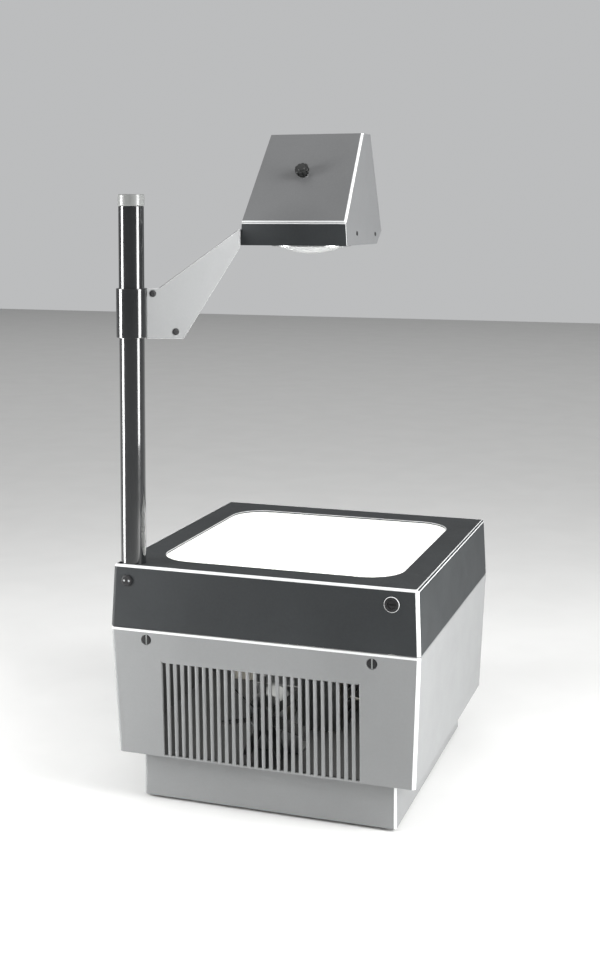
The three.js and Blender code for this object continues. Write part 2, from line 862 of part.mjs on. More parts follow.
function halogenLamp() {
  const tip = lampBaseY - fit - lampBulbLength;
  const neck = lampBulbRadius / 2;
  const outline = [
    [0, 0],
    [neck, neck / 2],
    [lampBulbRadius, lampBulbRadius],
    [lampBulbRadius, lampBulbLength - neck],
    [lampBaseRadius, lampBulbLength],
    [lampBaseRadius, lampBulbLength + lampBaseLength],
    [0, lampBulbLength + lampBaseLength],
  ];
  const lamp = piece('halogen_lamp', turned(outline, smallRoundSteps), clearGlass());
  lamp.rotation.x = -Math.PI / 2;
  lamp.position.set(0, tip, lampZ);
  return lamp;
}

// Reflector: a dish round the lamp, standing on the deck
function lampReflector() {
  const rimDrop = Math.sqrt(reflectorRadius ** 2 - reflectorRimRadius ** 2);
  const inside = [];
  for (let i = 0; i <= lensSteps; i += 1) {
    const angle = (Math.asin(reflectorRimRadius / reflectorRadius) * i) / lensSteps;
    inside.push([reflectorRadius * Math.sin(angle), lampHeight - reflectorRadius * Math.cos(angle)]);
  }
  inside[0][0] = 0;
  const rimZ = lampHeight - rimDrop;
  const outline = [
    ...inside,
    [reflectorRimRadius + reflectorWall, rimZ],
    [reflectorRimRadius + reflectorWall, rimZ - reflectorWall],
    [reflectorRimRadius / 2, restGap],
    [0, restGap],
  ];
  const dish = piece('lamp_reflector', turned(outline), silvered());
  dish.position.z = deckTopZ;
  return dish;
}

const condenserBaseZ = deckTopZ + restGap + lampHouseHeight + restGap;
const condenserSeatZ = condenserBaseZ + heatFilterThickness + fit + condenserRingFloor;

function heatFilter() {
  const half = heatFilterSize / 2;
  const low = [-half, -half, condenserBaseZ];
  const high = [half, half, condenserBaseZ + heatFilterThickness];
  return piece('heat_filter', blockGeometry(low, high), clearGlass());
}

function condenserRing() {
  const outerRadius = condenserRadius + fit + condenserRingWall;
  const body = turned([
    [condenserRadius - condenserRingLip, condenserBaseZ],
    [outerRadius + condenserRingWall, condenserBaseZ],
    [outerRadius + condenserRingWall, condenserBaseZ + heatFilterThickness],
    [outerRadius, condenserSeatZ],
    [outerRadius, condenserSeatZ + condenserEdge],
    [condenserRadius + fit, condenserSeatZ + condenserEdge],
    [condenserRadius + fit, condenserSeatZ],
    [condenserRadius - condenserRingLip, condenserSeatZ],
  ]);
  const half = heatFilterSize / 2 + fit;
  const pocket = block(
    [-half, -half, condenserBaseZ - overrun],
    [half, half, condenserBaseZ + heatFilterThickness + fit],
  );
  return piece('condenser_ring', body.subtract(pocket), blackSteel());
}

function condenserLens() {
  const bottom = condenserSeatZ + restGap;
  const dome = domePoints(condenserRadius, condenserCurve, bottom + condenserEdge, 1);
  const outline = [...dome, [condenserRadius, bottom], [0, bottom]];
  return piece('condenser_lens', turned(outline), clearGlass());
}

// Fan: an L bracket on the deck, a round motor and a seven-bladed impeller
const fanFrontY = -(casingHalfDepth(fanAxisZ) - shellWall - fanGrilleGap);
const fanMotorFrontY = fanFrontY + fanShaftLength;
const fanMotorRearY = fanMotorFrontY + fanMotorLength;

function fanBracket() {
  const half = fanBracketWidth / 2;
  const from = fanMotorRearY + fit;
  const upright = block(
    [-half, from, deckTopZ + restGap],
    [half, from + fanBracketThickness, fanAxisZ + fanMotorRadius],
  );
  const foot = block(
    [-half, from, deckTopZ + restGap],
    [half, from + fanFootLength, deckTopZ + restGap + fanBracketThickness],
  );
  return piece('fan_bracket', weld([upright, foot]), sheetSteel());
}

function fanMotor() {
  const body = weld([
    bar('y', fanMotorRadius, fanMotorFrontY, fanMotorRearY, [0, fanAxisZ]),
    bar('y', fanShaftRadius, fanFrontY + fit, fanMotorRearY - fit, [0, fanAxisZ], smallRoundSteps),
  ]);
  return piece('fan_motor', body, sheetSteel());
}

function fanImpeller() {
  const hub = bar('y', fanHubRadius, 0, fanHubLength, [0, 0], smallRoundSteps);
  const parts = [hub];
  for (let i = 0; i < fanBladeCount; i += 1) {
    const blade = new THREE.BoxGeometry(
      fanBladeThickness,
      fanHubLength / Math.cos(fanBladePitch),
      fanTipRadius - fanHubRadius / 2,
    );
    blade.rotateZ(fanBladePitch);
    blade.translate(0, fanHubLength / 2, (fanTipRadius + fanHubRadius / 2) / 2);
    blade.rotateY((i * 2 * Math.PI) / fanBladeCount);
    parts.push(solidOf(blade));
  }
  const trim = bar('y', fanTipRadius + overrun, 0, fanHubLength);
  const bore = bar('y', fanShaftRadius + fit, -overrun, fanHubLength + overrun, [0, 0], smallRoundSteps);
  const impeller = piece('fan_impeller', weld(parts).intersect(trim).subtract(bore), blackPlastic());
  impeller.position.set(0, fanFrontY, fanAxisZ);
  return impeller;
}

// Transformer: a laminated core with two windows and a taped coil round its middle leg
function transformerCore() {
  const half = coreWidth / 2;
  const bottom = deckTopZ + restGap;
  const body = block([-half, -coreDepth / 2, bottom], [half, coreDepth / 2, bottom + coreHeight]);
  const windowZ = bottom + (coreHeight - coreWindowHeight) / 2;
  const windows = [-1, 1].map((side) => {
    const inner = (side * coreLegWidth) / 2;
    const outer = inner + side * coreWindowWidth;
    return block(
      [Math.min(inner, outer), -overrun - coreDepth, windowZ],
      [Math.max(inner, outer), overrun + coreDepth, windowZ + coreWindowHeight],
    );
  });
  const core = piece('transformer_core', carve(body, windows), blackSteel());
  core.position.set(transformerX, transformerY, 0);
  return core;
}

function transformerCoil() {
  const bottom = deckTopZ + restGap + (coreHeight - coreWindowHeight) / 2 + fit;
  const top = bottom + coreWindowHeight - 2 * fit;
  const innerX = coreLegWidth / 2 + fit;
  const innerY = coreDepth / 2 + fit;
  const outerX = innerX + coilWall;
  const outerY = innerY + coilWall;
  const body = block([-outerX, -outerY, bottom], [outerX, outerY, top]);
  const bore = block([-innerX, -innerY, bottom - overrun], [innerX, innerY, top + overrun]);
  const coil = piece('transformer_coil', body.subtract(bore), copperTape());
  coil.position.set(transformerX, transformerY, 0);
  return coil;
}

function terminalBlock() {
  const bottom = deckTopZ + restGap;
  const top = bottom + terminalHeight;
  const halfWidth = terminalWidth / 2;
  const halfDepth = terminalDepth / 2;
  const body = block([-halfWidth, -halfDepth, bottom], [halfWidth, halfDepth, top]);
  const holeFrom = top - terminalScrewDepth;
  const hole = bar('z', terminalScrewRadius, holeFrom, top + overrun, [0, 0], smallRoundSteps);
  const pitch = terminalWidth / terminalPoleCount;
  const cuts = [];
  for (let i = 0; i < terminalPoleCount; i += 1) {
    cuts.push(hole.translate([(i + 1 / 2) * pitch - halfWidth, 0, 0]));
  }
  const strip = piece('terminal_block', carve(body, cuts), ceramic());
  strip.position.set(terminalX, terminalY, 0);
  return strip;
}

// Lead: a round cable along a smooth route, square to what it meets at both ends
function lead(name, route, material) {
  const places = route.map(([x, y, z]) => new THREE.Vector3(x, y, z));
  const path = new THREE.CatmullRomCurve3(places, false, 'centripetal');
  const section = [];
  for (let i = 0; i < leadSides; i += 1) {
    const angle = (i * 2 * Math.PI) / leadSides;
    section.push(new THREE.Vector2(leadRadius * Math.cos(angle), leadRadius * Math.sin(angle)));
  }
  const geometry = new THREE.ExtrudeGeometry(new THREE.Shape(section), {
    steps: leadSteps,
    bevelEnabled: false,
    extrudePath: path,
  });
  return piece(name, solidOf(geometry), material);
}

function leads() {
  const blockZ = deckTopZ + terminalHeight / 2;
  const inletBackY = casingHalfDepth(rearPanelZ) - inletDepth - 2 * fit;
  const blockBackY = terminalY + terminalDepth / 2 + fit;
  const blockRightX = terminalX + terminalWidth / 2 + fit;
  const coilZ = deckTopZ + restGap + coreHeight / 2;
  const coilReach = coreDepth / 2 + 2 * fit + coilWall;
  const coilBackY = transformerY + coilReach;
  const coilFrontY = transformerY - coilReach;
  const rearRunY = coilBackY + leadRearRun;
  const ventIndex = Math.floor(lampHouseVentCount / 2);
  const ventZ = deckTopZ + lampHouseVentZ + ventIndex * lampHouseVentPitch + lampHouseVentWidth / 2;
  const socketX = socketBlockSize / 2 + fit;
  const socketY = lampBaseY + socketBlockWidth / 2;
  const mains = [
    [inletX, inletBackY, rearPanelZ],
    [inletX, inletBackY - leadEndRun, rearPanelZ],
    [inletX, blockBackY + leadEndRun, blockZ],
    [inletX, blockBackY, blockZ],
  ];
  const primary = [
    [blockRightX, terminalY, blockZ],
    [blockRightX + leadEndRun, terminalY, blockZ],
    [0, rearRunY, deckTopZ + leadDeckLift],
    [transformerX - leadRearRun, rearRunY, deckTopZ + leadDeckLift],
    [transformerX, coilBackY + leadEndRun, coilZ],
    [transformerX, coilBackY, coilZ],
  ];
  const secondary = [
    [transformerX, coilFrontY, ventZ],
    [transformerX, coilFrontY - leadEndRun, ventZ],
    [lampHouseSize / 2 + leadEndRun, coilFrontY, ventZ],
    [lampHouseSize / 2 - leadEndRun, 0, ventZ],
    [socketX + leadEndRun, socketY, ventZ],
    [socketX, socketY, ventZ],
  ];
  return [
    lead('mains_lead', mains, blackPlastic()),
    lead('transformer_lead', primary, blackPlastic()),
    lead('lamp_lead', secondary, ceramic()),
  ];
}

// Hinge: two leaves with knuckles that share one pin
function knuckleSpans(own) {
  const length = hingeLength / hingeKnuckleCount;
  const spans = [];
  for (let i = 0; i < hingeKnuckleCount; i += 1) {
    const from = -hingeLength / 2 + i * length + hingeKnuckleGap / 2;
    if ((i % 2 === 0) === own) spans.push([from, from + length - hingeKnuckleGap]);
  }
  return spans;
}

function hingeLeaf(name, first, outerY, farZ) {
  const up = farZ > hingeAxisZ;
  const clearZ = hingeAxisZ + (up ? 1 : -1) * (knuckleRadius + hingeKnuckleGap);
  const plate = block(
    [-hingeLength / 2, outerY - leafThickness, Math.min(farZ, clearZ)],
    [hingeLength / 2, outerY, Math.max(farZ, clearZ)],
  );
  const parts = [plate];
  knuckleSpans(first).forEach(([from, to]) => {
    parts.push(bar('x', knuckleRadius, from, to, [hingeAxisY, hingeAxisZ], smallRoundSteps));
    parts.push(
      block(
        [from, outerY - leafThickness, Math.min(hingeAxisZ, clearZ + (up ? leafThickness : 0))],
        [to, outerY, Math.max(hingeAxisZ, clearZ - (up ? 0 : leafThickness))],
      ),
    );
  });
  const bore = bar(
    'x',
    hingePinRadius + fit,
    -hingeLength / 2 - overrun,
    hingeLength / 2 + overrun,
    [hingeAxisY, hingeAxisZ],
    smallRoundSteps,
  );
  return piece(name, weld(parts).subtract(bore), steel());
}

function hingeLeafFixed() {
  const farZ = seamZ - fixedLeafHeight;
  return hingeLeaf('hinge_leaf_fixed', true, casingHalfDepth(farZ) - shellWall - fit, farZ);
}

function hingeLeafMoving() {
  const farZ = hingeAxisZ + knuckleRadius + movingLeafHeight;
  return hingeLeaf('hinge_leaf_moving', false, coverHalfDepth(farZ) - shellWall - fit, farZ);
}

function hingePin() {
  const pin = barGeometry('x', hingePinRadius, -hingeLength / 2, hingeLength / 2, [0, 0], smallRoundSteps);
  const mesh = piece('hinge_pin', pin, steel());
  mesh.position.set(0, hingeAxisY, hingeAxisZ);
  return mesh;
}

// Lock levels in front-to-back order
const lockSeatY = -(coverHalfDepth(lockZ) - lockSeatDepth);
const lockRingFrontY = lockSeatY - restGap - lockRingThickness;
const tongueFrontY = lockRingFrontY + tongueSetback + lockRingThickness;
const toeTopReach = tongueReach - toeHeight;

function latchCatch() {
  const topZ = lockZ - toeTopReach + toeGap + catchLipThickness;
  const lowZ = topZ - catchLegHeight;
  const wallY = -(casingHalfDepth(lowZ) - shellWall - fit);
  const half = catchLipWidth / 2;
  const leg = block([-half, wallY, lowZ], [half, wallY + catchLipThickness, topZ]);
  const lip = block([-half, wallY, topZ - catchLipThickness], [half, wallY + catchLipReach, topZ]);
  const latch = piece('latch_catch', weld([leg, lip]), steel());
  latch.position.x = lockX;
  return latch;
}

function lockRing() {
  const ring = bar('y', lockRingRadius, lockRingFrontY, lockRingFrontY + lockRingThickness);
  const sleeve = bar('y', lockSleeveRadius, lockRingFrontY, lockSeatY + lockSleeveLength);
  const bore = bar('y', lockSleeveBore, lockRingFrontY - overrun, lockSeatY + overrun);
  const mesh = piece('lock_ring', weld([ring, sleeve]).subtract(bore), steel());
  mesh.position.set(lockX, 0, lockZ);
  return mesh;
}

function lockBarrel() {
  const faceY = lockRingFrontY + lockFaceRecess;
  const body = bar('y', lockBarrelRadius, faceY, tongueFrontY - fit, [0, 0], smallRoundSteps);
  const slot = block(
    [-lockSlotLength / 2, faceY - overrun, -lockSlotWidth / 2],
    [lockSlotLength / 2, faceY + lockSlotDepth, lockSlotWidth / 2],
  );
  const mesh = piece('lock_barrel', body.subtract(slot), blackSteel());
  mesh.position.set(lockX, 0, lockZ);
  return mesh;
}

// Tongue: unlocked, it points to the left; a quarter turn brings its toe under the catch
function lockTongue() {
  const half = tongueWidth / 2;
  const strip = block(
    [-tongueReach, tongueFrontY, -half],
    [half, tongueFrontY + tongueThickness, half],
  );
  const toe = block(
    [-tongueReach, tongueFrontY - toeDepth, -half],
    [-toeTopReach, tongueFrontY + tongueThickness / 2, half],
  );
  const mesh = piece('lock_tongue', weld([strip, toe]), steel());
  mesh.position.set(lockX, 0, lockZ);
  return mesh;
}

// Cover: a drafted frame, closed above by a shoulder and a ledge that carry the stage
function coverFrame(clampSeat) {
  const outer = draftedPrism(coverLow, coverHigh, shellCornerRadius);
  const ledgeReach = 2 * ledgeWidth;
  const maskWidth = coverTopWidth - 2 * rimWidth;
  const maskDepth = coverTopDepth - 2 * rimWidth;
  const reliefTop = hingeAxisZ + hingeReliefHeight;
  const cuts = [
    draftedHollow(coverLow, coverHigh, shellWall, coverBottomZ - overrun, shoulderBottomZ),
    slab(
      glassWidth - ledgeReach,
      glassDepth - ledgeReach,
      ledgeCornerRadius,
      shoulderBottomZ - overrun,
      coverTopZ + overrun,
      stageCornerSteps,
    ),
    slab(glassWidth + 2 * fit, glassDepth + 2 * fit, fit, ledgeTopZ, coverTopZ + overrun),
    slab(maskWidth, maskDepth, shellCornerRadius / 2, maskBottomZ - restGap, coverTopZ + overrun),
    bar('z', postRadius + fit, shoulderBottomZ - overrun, coverTopZ + overrun, [postX, postY]),
    bar('y', lockRingRadius + fit, lockSeatY - overrun, lockSeatY, [lockX, lockZ]),
    bar('y', lockSleeveRadius + fit, lockSeatY - overrun, lockSeatY + overrun, [lockX, lockZ]),
    inGroup(clampSeat, barGeometry('y', clampScrewShankRadius + fit, -2 * shellWall, overrun)),
    block(
      [-casingTopWidth, casingTopDepth / 2 - hingeReliefDepth, coverBottomZ - overrun],
      [casingTopWidth, casingTopDepth, reliefTop],
    ),
  ];
  return piece('cover_frame', carve(outer, cuts), blackPaint());
}

function maskPlate() {
  const width = coverTopWidth - 2 * rimWidth - 2 * fit;
  const depth = coverTopDepth - 2 * rimWidth - 2 * fit;
  const radius = shellCornerRadius / 2 - fit;
  const low = [-coverTopWidth, -coverTopDepth, maskBottomZ - overrun];
  const cuts = [
    slab(
      stageWidth,
      stageDepth,
      stageCornerRadius,
      maskBottomZ - overrun,
      maskTopZ + overrun,
      stageCornerSteps,
    ),
    bar('z', postRadius + fit, maskBottomZ - overrun, maskTopZ + overrun, [postX, postY]),
    block(low, [postX, postY, maskTopZ + overrun]),
  ];
  return piece('mask_plate', carve(slab(width, depth, radius, maskBottomZ, maskTopZ), cuts), blackPaint());
}

function stageGlass() {
  const radius = fit;
  const top = glassBottomZ + glassThickness;
  const glass = slabGeometry(glassWidth, glassDepth, radius, glassBottomZ, top);
  return piece('stage_glass', glass, clearGlass());
}

function fieldLens() {
  const top = fieldLensBottomZ + fieldLensThickness;
  return piece('field_lens', slabGeometry(glassWidth, glassDepth, fit, fieldLensBottomZ, top), clearGlass());
}

// Post socket: a corner block with a blind bore, open towards the clamp screw
function postSocket() {
  const outerX = postX - postRadius * socketOuterShare;
  const outerY = postY - postRadius * socketOuterShare;
  const body = block(
    [outerX, outerY, socketBottomZ],
    [postX + socketInnerWidth, postY + socketInnerWidth, socketTopZ],
  );
  const bore = bar(
    'z',
    postRadius + fit,
    socketBottomZ + socketFloorThickness,
    socketTopZ + overrun,
    [postX, postY],
  );
  return piece('post_socket', body.subtract(bore), castAlloy());
}

// Post, with local axes that follow the arm: +X points to the stage, +Y away from the lock side
function postTube() {
  const outline = [
    [postRadius - postWall, postBottomZ],
    [postRadius, postBottomZ],
    [postRadius, postTopZ],
    [postRadius - postWall, postTopZ],
  ];
  const slot = block(
    [0, rackOffset - rackWidth / 2 - fit, rackBottomZ - fit],
    [postRadius + overrun, rackOffset + rackWidth / 2 + fit, rackTopZ + fit],
  );
  return piece('post_tube', turned(outline).subtract(slot), blackSteel());
}

const rackMargin = pitchRadius + 2 * gearModule;
const rackBottomZ = driveAxisZ - focusTravelDown - rackMargin;
const rackTopZ = driveAxisZ + focusTravelUp + rackMargin;

// Rack: straight flanks, with a gap between teeth centred on the pinion's tooth at rest
function postRack() {
  const pitch = Math.PI * gearModule;
  const tip = rackTipX;
  const root = pitchLineX - gearModule * dedendumShare;
  const halfTooth = (pitch / 2 - backlash) / 2;
  const tipHalf = halfTooth - gearModule * addendumShare * Math.tan(pressureAngle);
  const rootHalf = halfTooth + gearModule * dedendumShare * Math.tan(pressureAngle);
  const points = [[root, rackBottomZ]];
  const first = Math.ceil((rackBottomZ - driveAxisZ) / pitch + 1);
  const last = Math.floor((rackTopZ - driveAxisZ) / pitch - 1);
  for (let i = first; i < last; i += 1) {
    const z = driveAxisZ + (i + 0.5) * pitch;
    points.push([root, z - rootHalf], [tip, z - tipHalf], [tip, z + tipHalf], [root, z + rootHalf]);
  }
  points.push([root, rackTopZ], [tip - rackThickness, rackTopZ], [tip - rackThickness, rackBottomZ]);
  const from = rackOffset - rackWidth / 2;
  return piece('post_rack', profileAlongY(points, from, from + rackWidth), brass());
}

function postCap() {
  const bottom = postTopZ + restGap;
  const plugRadius = postRadius - postWall - fit;
  const outline = [
    [0, bottom - capHeight],
    [plugRadius, bottom - capHeight],
    [plugRadius, bottom],
    [capRadius, bottom],
    [capRadius, bottom + capHeight - restGap - capHeight * capEdgeShare],
    [capRadius - capHeight * capEdgeShare, bottom + capHeight - restGap],
    [0, bottom + capHeight - restGap],
  ];
  return piece('post_cap', turned(outline), greyPaint());
}

// Pinion tooth outline from involute flanks, cut down to the root circle
function pinionOutline() {
  const baseRadius = pitchRadius * Math.cos(pressureAngle);
  const tipRadius = pitchRadius + gearModule * addendumShare;
  const rootRadius = pitchRadius - gearModule * dedendumShare;
  const involute = (radius) => {
    const roll = Math.sqrt(Math.max(radius ** 2 / baseRadius ** 2 - 1, 0));
    return roll - Math.atan(roll);
  };
  const halfTooth = (Math.PI * gearModule) / 2 - backlash;
  const halfAngle = halfTooth / (2 * pitchRadius) + involute(pitchRadius);
  const points = [];
  for (let tooth = 0; tooth < pinionTeeth; tooth += 1) {
    const centre = Math.PI + (tooth * 2 * Math.PI) / pinionTeeth;
    const flank = [];
    for (let i = 0; i <= flankSteps; i += 1) {
      const radius = baseRadius + ((tipRadius - baseRadius) * i) / flankSteps;
      flank.push([radius, halfAngle - involute(radius)]);
    }
    const rising = [[rootRadius, halfAngle], ...flank];
    rising.forEach(([radius, angle]) => points.push([radius, centre - angle]));
    rising.reverse().forEach(([radius, angle]) => points.push([radius, centre + angle]));
  }
  return points.map(([radius, angle]) => [radius * Math.cos(angle), radius * Math.sin(angle)]);
}

const housingFromY = armThickness / 2 + fit;
const housingToY = postRadius + fit + collarWall + fit;
const knobFromY = housingToY + 2 * fit;

// Pinion with its shaft; its own Y axis is the shaft, and a tooth points at the rack
function focusPinion() {
  const from = rackOffset - pinionFaceWidth / 2;
  const gear = solidOf(profileAlongY(pinionOutline(), from, from + pinionFaceWidth));
  const shaftTo = knobFromY + focusKnobShaftDepth - fit;
  const shaft = bar('y', pinionShaftRadius, housingFromY + fit, shaftTo, [0, 0], smallRoundSteps);
  const pinion = piece('focus_pinion', weld([gear, shaft]), steel());
  pinion.position.set(pinionX, 0, driveAxisZ);
  return pinion;
}

function grippedKnob(axis, radius, from, to, grips, gripRadius) {
  const body = bar(axis, radius, from, to);
  const cuts = [];
  for (let i = 0; i < grips; i += 1) {
    const angle = (i * 2 * Math.PI) / grips;
    const across = [radius * Math.cos(angle), radius * Math.sin(angle)];
    cuts.push(bar(axis, gripRadius, from - overrun, to + overrun, across, gripSteps));
  }
  return carve(body, cuts);
}

function focusKnob() {
  const to = knobFromY + focusKnobDepth;
  const body = grippedKnob('y', focusKnobRadius, knobFromY, to, focusKnobGrips, focusKnobGripRadius);
  const bore = bar('y', pinionShaftRadius + fit, knobFromY - overrun, knobFromY + focusKnobShaftDepth);
  const knob = piece('focus_knob', body.subtract(bore), blackPlastic());
  knob.position.set(pinionX, 0, driveAxisZ);
  return knob;
}

function collar() {
  const inner = postRadius + fit;
  const outer = inner + collarWall;
  const top = collarBottomZ + collarHeight;
  const body = turned([
    [inner, collarBottomZ],
    [outer, collarBottomZ],
    [outer, top],
    [inner, top],
  ]);
  const reach = pitchRadius + gearModule + driveCavityGap;
  const window = block(
    [0, rackOffset - pinionFaceWidth / 2 - driveCavityGap, driveAxisZ - reach],
    [outer + overrun, rackOffset + pinionFaceWidth / 2 + driveCavityGap, driveAxisZ + reach],
  );
  const shaftWay = bar('y', pinionShaftRadius + fit, 0, outer, [pinionX, driveAxisZ], smallRoundSteps);
  return piece('collar', carve(body, [window, shaftWay]), blackSteel());
}

// Drive housing: a block behind the arm that carries the pinion's shaft
function driveHousing() {
  const top = collarBottomZ + collarHeight - driveHousingMargin;
  const bottom = collarBottomZ + driveHousingMargin;
  const body = block([0, housingFromY, bottom], [driveHousingReach, housingToY, top]);
  const collarRadius = postRadius + fit + collarWall + fit;
  const cavityRadius = pitchRadius + gearModule + driveCavityGap;
  const cavityTo = rackOffset + pinionFaceWidth / 2 + driveCavityGap;
  const across = [pinionX, driveAxisZ];
  const cuts = [
    bar('z', collarRadius, bottom - overrun, top + overrun),
    block([-overrun, 0, bottom - overrun], [collarRadius / 2, housingToY + overrun, top + overrun]),
    bar('y', cavityRadius, housingFromY - overrun, cavityTo, across),
    bar('y', pinionShaftRadius + fit, housingFromY - overrun, housingToY + overrun, across, smallRoundSteps),
  ];
  return piece('drive_housing', carve(body, cuts), castAlloy());
}

// Arm: a plate from the collar to the head's front corner, bent there to run along the head's side
function armPlate() {
  const collarReach = postRadius + 2 * fit + collarWall;
  const outline = [
    [collarReach, armCollarBottomZ],
    [armHeelReach, armHeelZ],
    [armLength, armTipBottomZ],
    [armLength, armTipTopZ],
    [armShoulderReach, armCollarTopZ],
    [collarReach, armCollarTopZ],
  ];
  const plate = solidOf(profileAlongY(outline, -armThickness / 2, armThickness / 2));
  const side = blockGeometry(
    [armEndX - armThickness / 2, headFrontY - armThickness / 2, headBottomZ],
    [armEndX + armThickness / 2, headFrontY + armFlangeLength, armTipTopZ],
  );
  const toArm = new THREE.Matrix4().makeRotationZ(-armAngle);
  toArm.multiply(new THREE.Matrix4().makeTranslation(-postX, -postY, 0));
  return piece('arm_plate', weld([plate, solidOf(side, toArm)]), greyPaint());
}

// Head outline in the Y-Z plane; a drop carries its bottom further down, for the hollow
function headOutline(drop) {
  const chamferRun = (headRearY - headChamferY) / headRearZ;
  return [
    [headFrontY, -drop],
    [headChamferY - chamferRun * drop, -drop],
    [headRearY, headRearZ],
    [ridgeRearY, headHeight],
    [ridgeFrontY, headHeight],
    [headFrontY, headBandHeight],
  ];
}

// A convex outline, given anticlockwise, moved inwards by a distance
function inset(points, distance) {
  const lines = points.map((point, i) => {
    const next = points[(i + 1) % points.length];
    const length = Math.hypot(next[0] - point[0], next[1] - point[1]);
    const normal = [(point[1] - next[1]) / length, (next[0] - point[0]) / length];
    return { normal, offset: normal[0] * point[0] + normal[1] * point[1] + distance };
  });
  return points.map((point, i) => {
    const a = lines[(i + lines.length - 1) % lines.length];
    const b = lines[i];
    const cross = a.normal[0] * b.normal[1] - a.normal[1] * b.normal[0];
    return [
      (a.offset * b.normal[1] - b.offset * a.normal[1]) / cross,
      (a.normal[0] * b.offset - b.normal[0] * a.offset) / cross,
    ];
  });
}

function headHalfWidthAt(z) {
  return headHalfWidth + ((headTopHalfWidth - headHalfWidth) * z) / headHeight;
}

// A prism along X whose sides lean in with height as the head's sides do
function leaningPrism(points, wall) {
  const geometry = profileAlongX(points, -headHalfWidth, headHalfWidth);
  const places = geometry.attributes.position;
  for (let i = 0; i < places.count; i += 1) {
    const half = headHalfWidthAt(places.getZ(i)) - wall;
    places.setX(i, (places.getX(i) * half) / headHalfWidth);
  }
  return solidOf(geometry);
}

// Group on the slope: local +Y runs up the slope and local +Z points out of it
function slopeGroup() {
  const group = new THREE.Group();
  group.position.set(0, headFrontY, headBandHeight);
  group.rotation.x = slopeAngle;
  group.updateMatrix();
  return group;
}

function headHousing(slope) {
  const outer = leaningPrism(headOutline(0), 0);
  const bushHole = barGeometry('z', bushRadius + fit, -overrun, overrun, [screwX, screwAlongSlope]);
  const cuts = [
    leaningPrism(inset(headOutline(2 * headWall), headWall), headWall),
    block(
      [-headHalfWidth - overrun, headFrontY - overrun, -overrun],
      [headHalfWidth + overrun, headFrontY + bandThickness + fit, headBandHeight - restGap],
    ),
    block([-exitHalfWidth, ridgeRearY / 2, exitBottomZ], [exitHalfWidth, headRearY + overrun, exitTopZ]),
    inGroup(slope, bushHole),
  ];
  return piece('head_housing', carve(outer, cuts), greyPaint());
}

// Lens board: the head's black underside, with the front band standing up from it
function lensBoard() {
  const half = headHalfWidthAt(lensBoardThickness) - headWall - fit;
  const floor = block([-half, headFrontY, 0], [half, lensBoardRearY, lensBoardThickness]);
  const bandTop = headBandHeight - 2 * restGap;
  const band = leaningPrism(
    [
      [headFrontY, 0],
      [headFrontY + bandThickness, 0],
      [headFrontY + bandThickness, bandTop],
      [headFrontY, bandTop],
    ],
    0,
  );
  const hole = bar('z', lensRadius + fit + lensRingWall + fit, -overrun, overrun);
  return piece('lens_board', weld([floor, band]).subtract(hole), blackPaint());
}

function lensRing() {
  const bore = lensRadius + fit;
  const outer = bore + lensRingWall;
  const lip = bore - lensRingLip;
  const bottom = -lensRingLipGap - lensRingLipThickness;
  const top = lensEdge + lensRingLipGap + lensRingLipThickness;
  const flangeZ = lensBoardThickness + restGap;
  return piece(
    'lens_ring',
    turned([
      [lip, bottom],
      [outer, bottom],
      [outer, flangeZ],
      [outer + lensRingFlange, flangeZ],
      [outer + lensRingFlange, top],
      [lip, top],
      [lip, top - lensRingLipThickness],
      [bore, top - lensRingLipThickness],
      [bore, bottom + lensRingLipThickness],
      [lip, bottom + lensRingLipThickness],
    ]),
    blackSteel(),
  );
}

function objectiveLens() {
  const upper = domePoints(lensRadius, lensCurve, lensEdge, 1);
  const lower = domePoints(lensRadius, lensCurve, 0, -1).reverse();
  return piece('objective_lens', turned([...upper, ...lower]), clearGlass());
}

// Places inside the slope's group
const carrierMiddle = -mirrorDepth - carrierThickness / 2;
const axleZ = headBandHeight + axleAlongSlope * Math.sin(slopeAngle) + carrierMiddle * Math.cos(slopeAngle);

function mirrorAxle() {
  const half = headHalfWidthAt(axleZ + axleRadius) - headWall - fit;
  const rod = barGeometry('x', axleRadius, -half, half, [0, 0], smallRoundSteps);
  const axle = piece('mirror_axle', rod, steel());
  axle.position.set(0, axleAlongSlope, carrierMiddle);
  return axle;
}

// Carrier: its own origin is on the axle
function mirrorCarrier() {
  const from = mirrorStart - axleAlongSlope;
  const to = mirrorEnd - axleAlongSlope;
  const half = carrierThickness / 2;
  const parts = [block([-mirrorHalfWidth, from, -half], [mirrorHalfWidth, to, half])];
  [-carrierKnuckleX, carrierKnuckleX].forEach((x) => {
    const left = x - carrierKnuckleLength / 2;
    const right = x + carrierKnuckleLength / 2;
    parts.push(bar('x', carrierKnuckleRadius, left, right, [0, 0], smallRoundSteps));
    parts.push(block([left, 0, -half], [right, from + half, half]));
  });
  const bore = bar('x', axleRadius + fit, -headHalfWidth, headHalfWidth, [0, 0], smallRoundSteps);
  const carrier = piece('mirror_carrier', weld(parts).subtract(bore), sheetSteel());
  carrier.position.set(0, axleAlongSlope, carrierMiddle);
  return carrier;
}

function mirrorGlass() {
  const from = mirrorStart + fit;
  const top = -mirrorDepth - carrierThickness - fit;
  const glass = blockGeometry(
    [-mirrorHalfWidth, from, top - mirrorGlassThickness],
    [mirrorHalfWidth, mirrorEnd, top],
  );
  return piece('mirror_glass', glass, silvered());
}

function screwBush() {
  const flangeTop = fit + bushFlangeThickness;
  const sleeve = turned([
    [spindleRadius + fit, -headWall - bushInnerLength],
    [bushRadius, -headWall - bushInnerLength],
    [bushRadius, fit],
    [bushFlangeRadius, fit],
    [bushFlangeRadius, flangeTop],
    [spindleRadius + fit, flangeTop],
  ]);
  const bush = piece('screw_bush', sleeve, brass());
  bush.position.set(screwX, screwAlongSlope, 0);
  return bush;
}

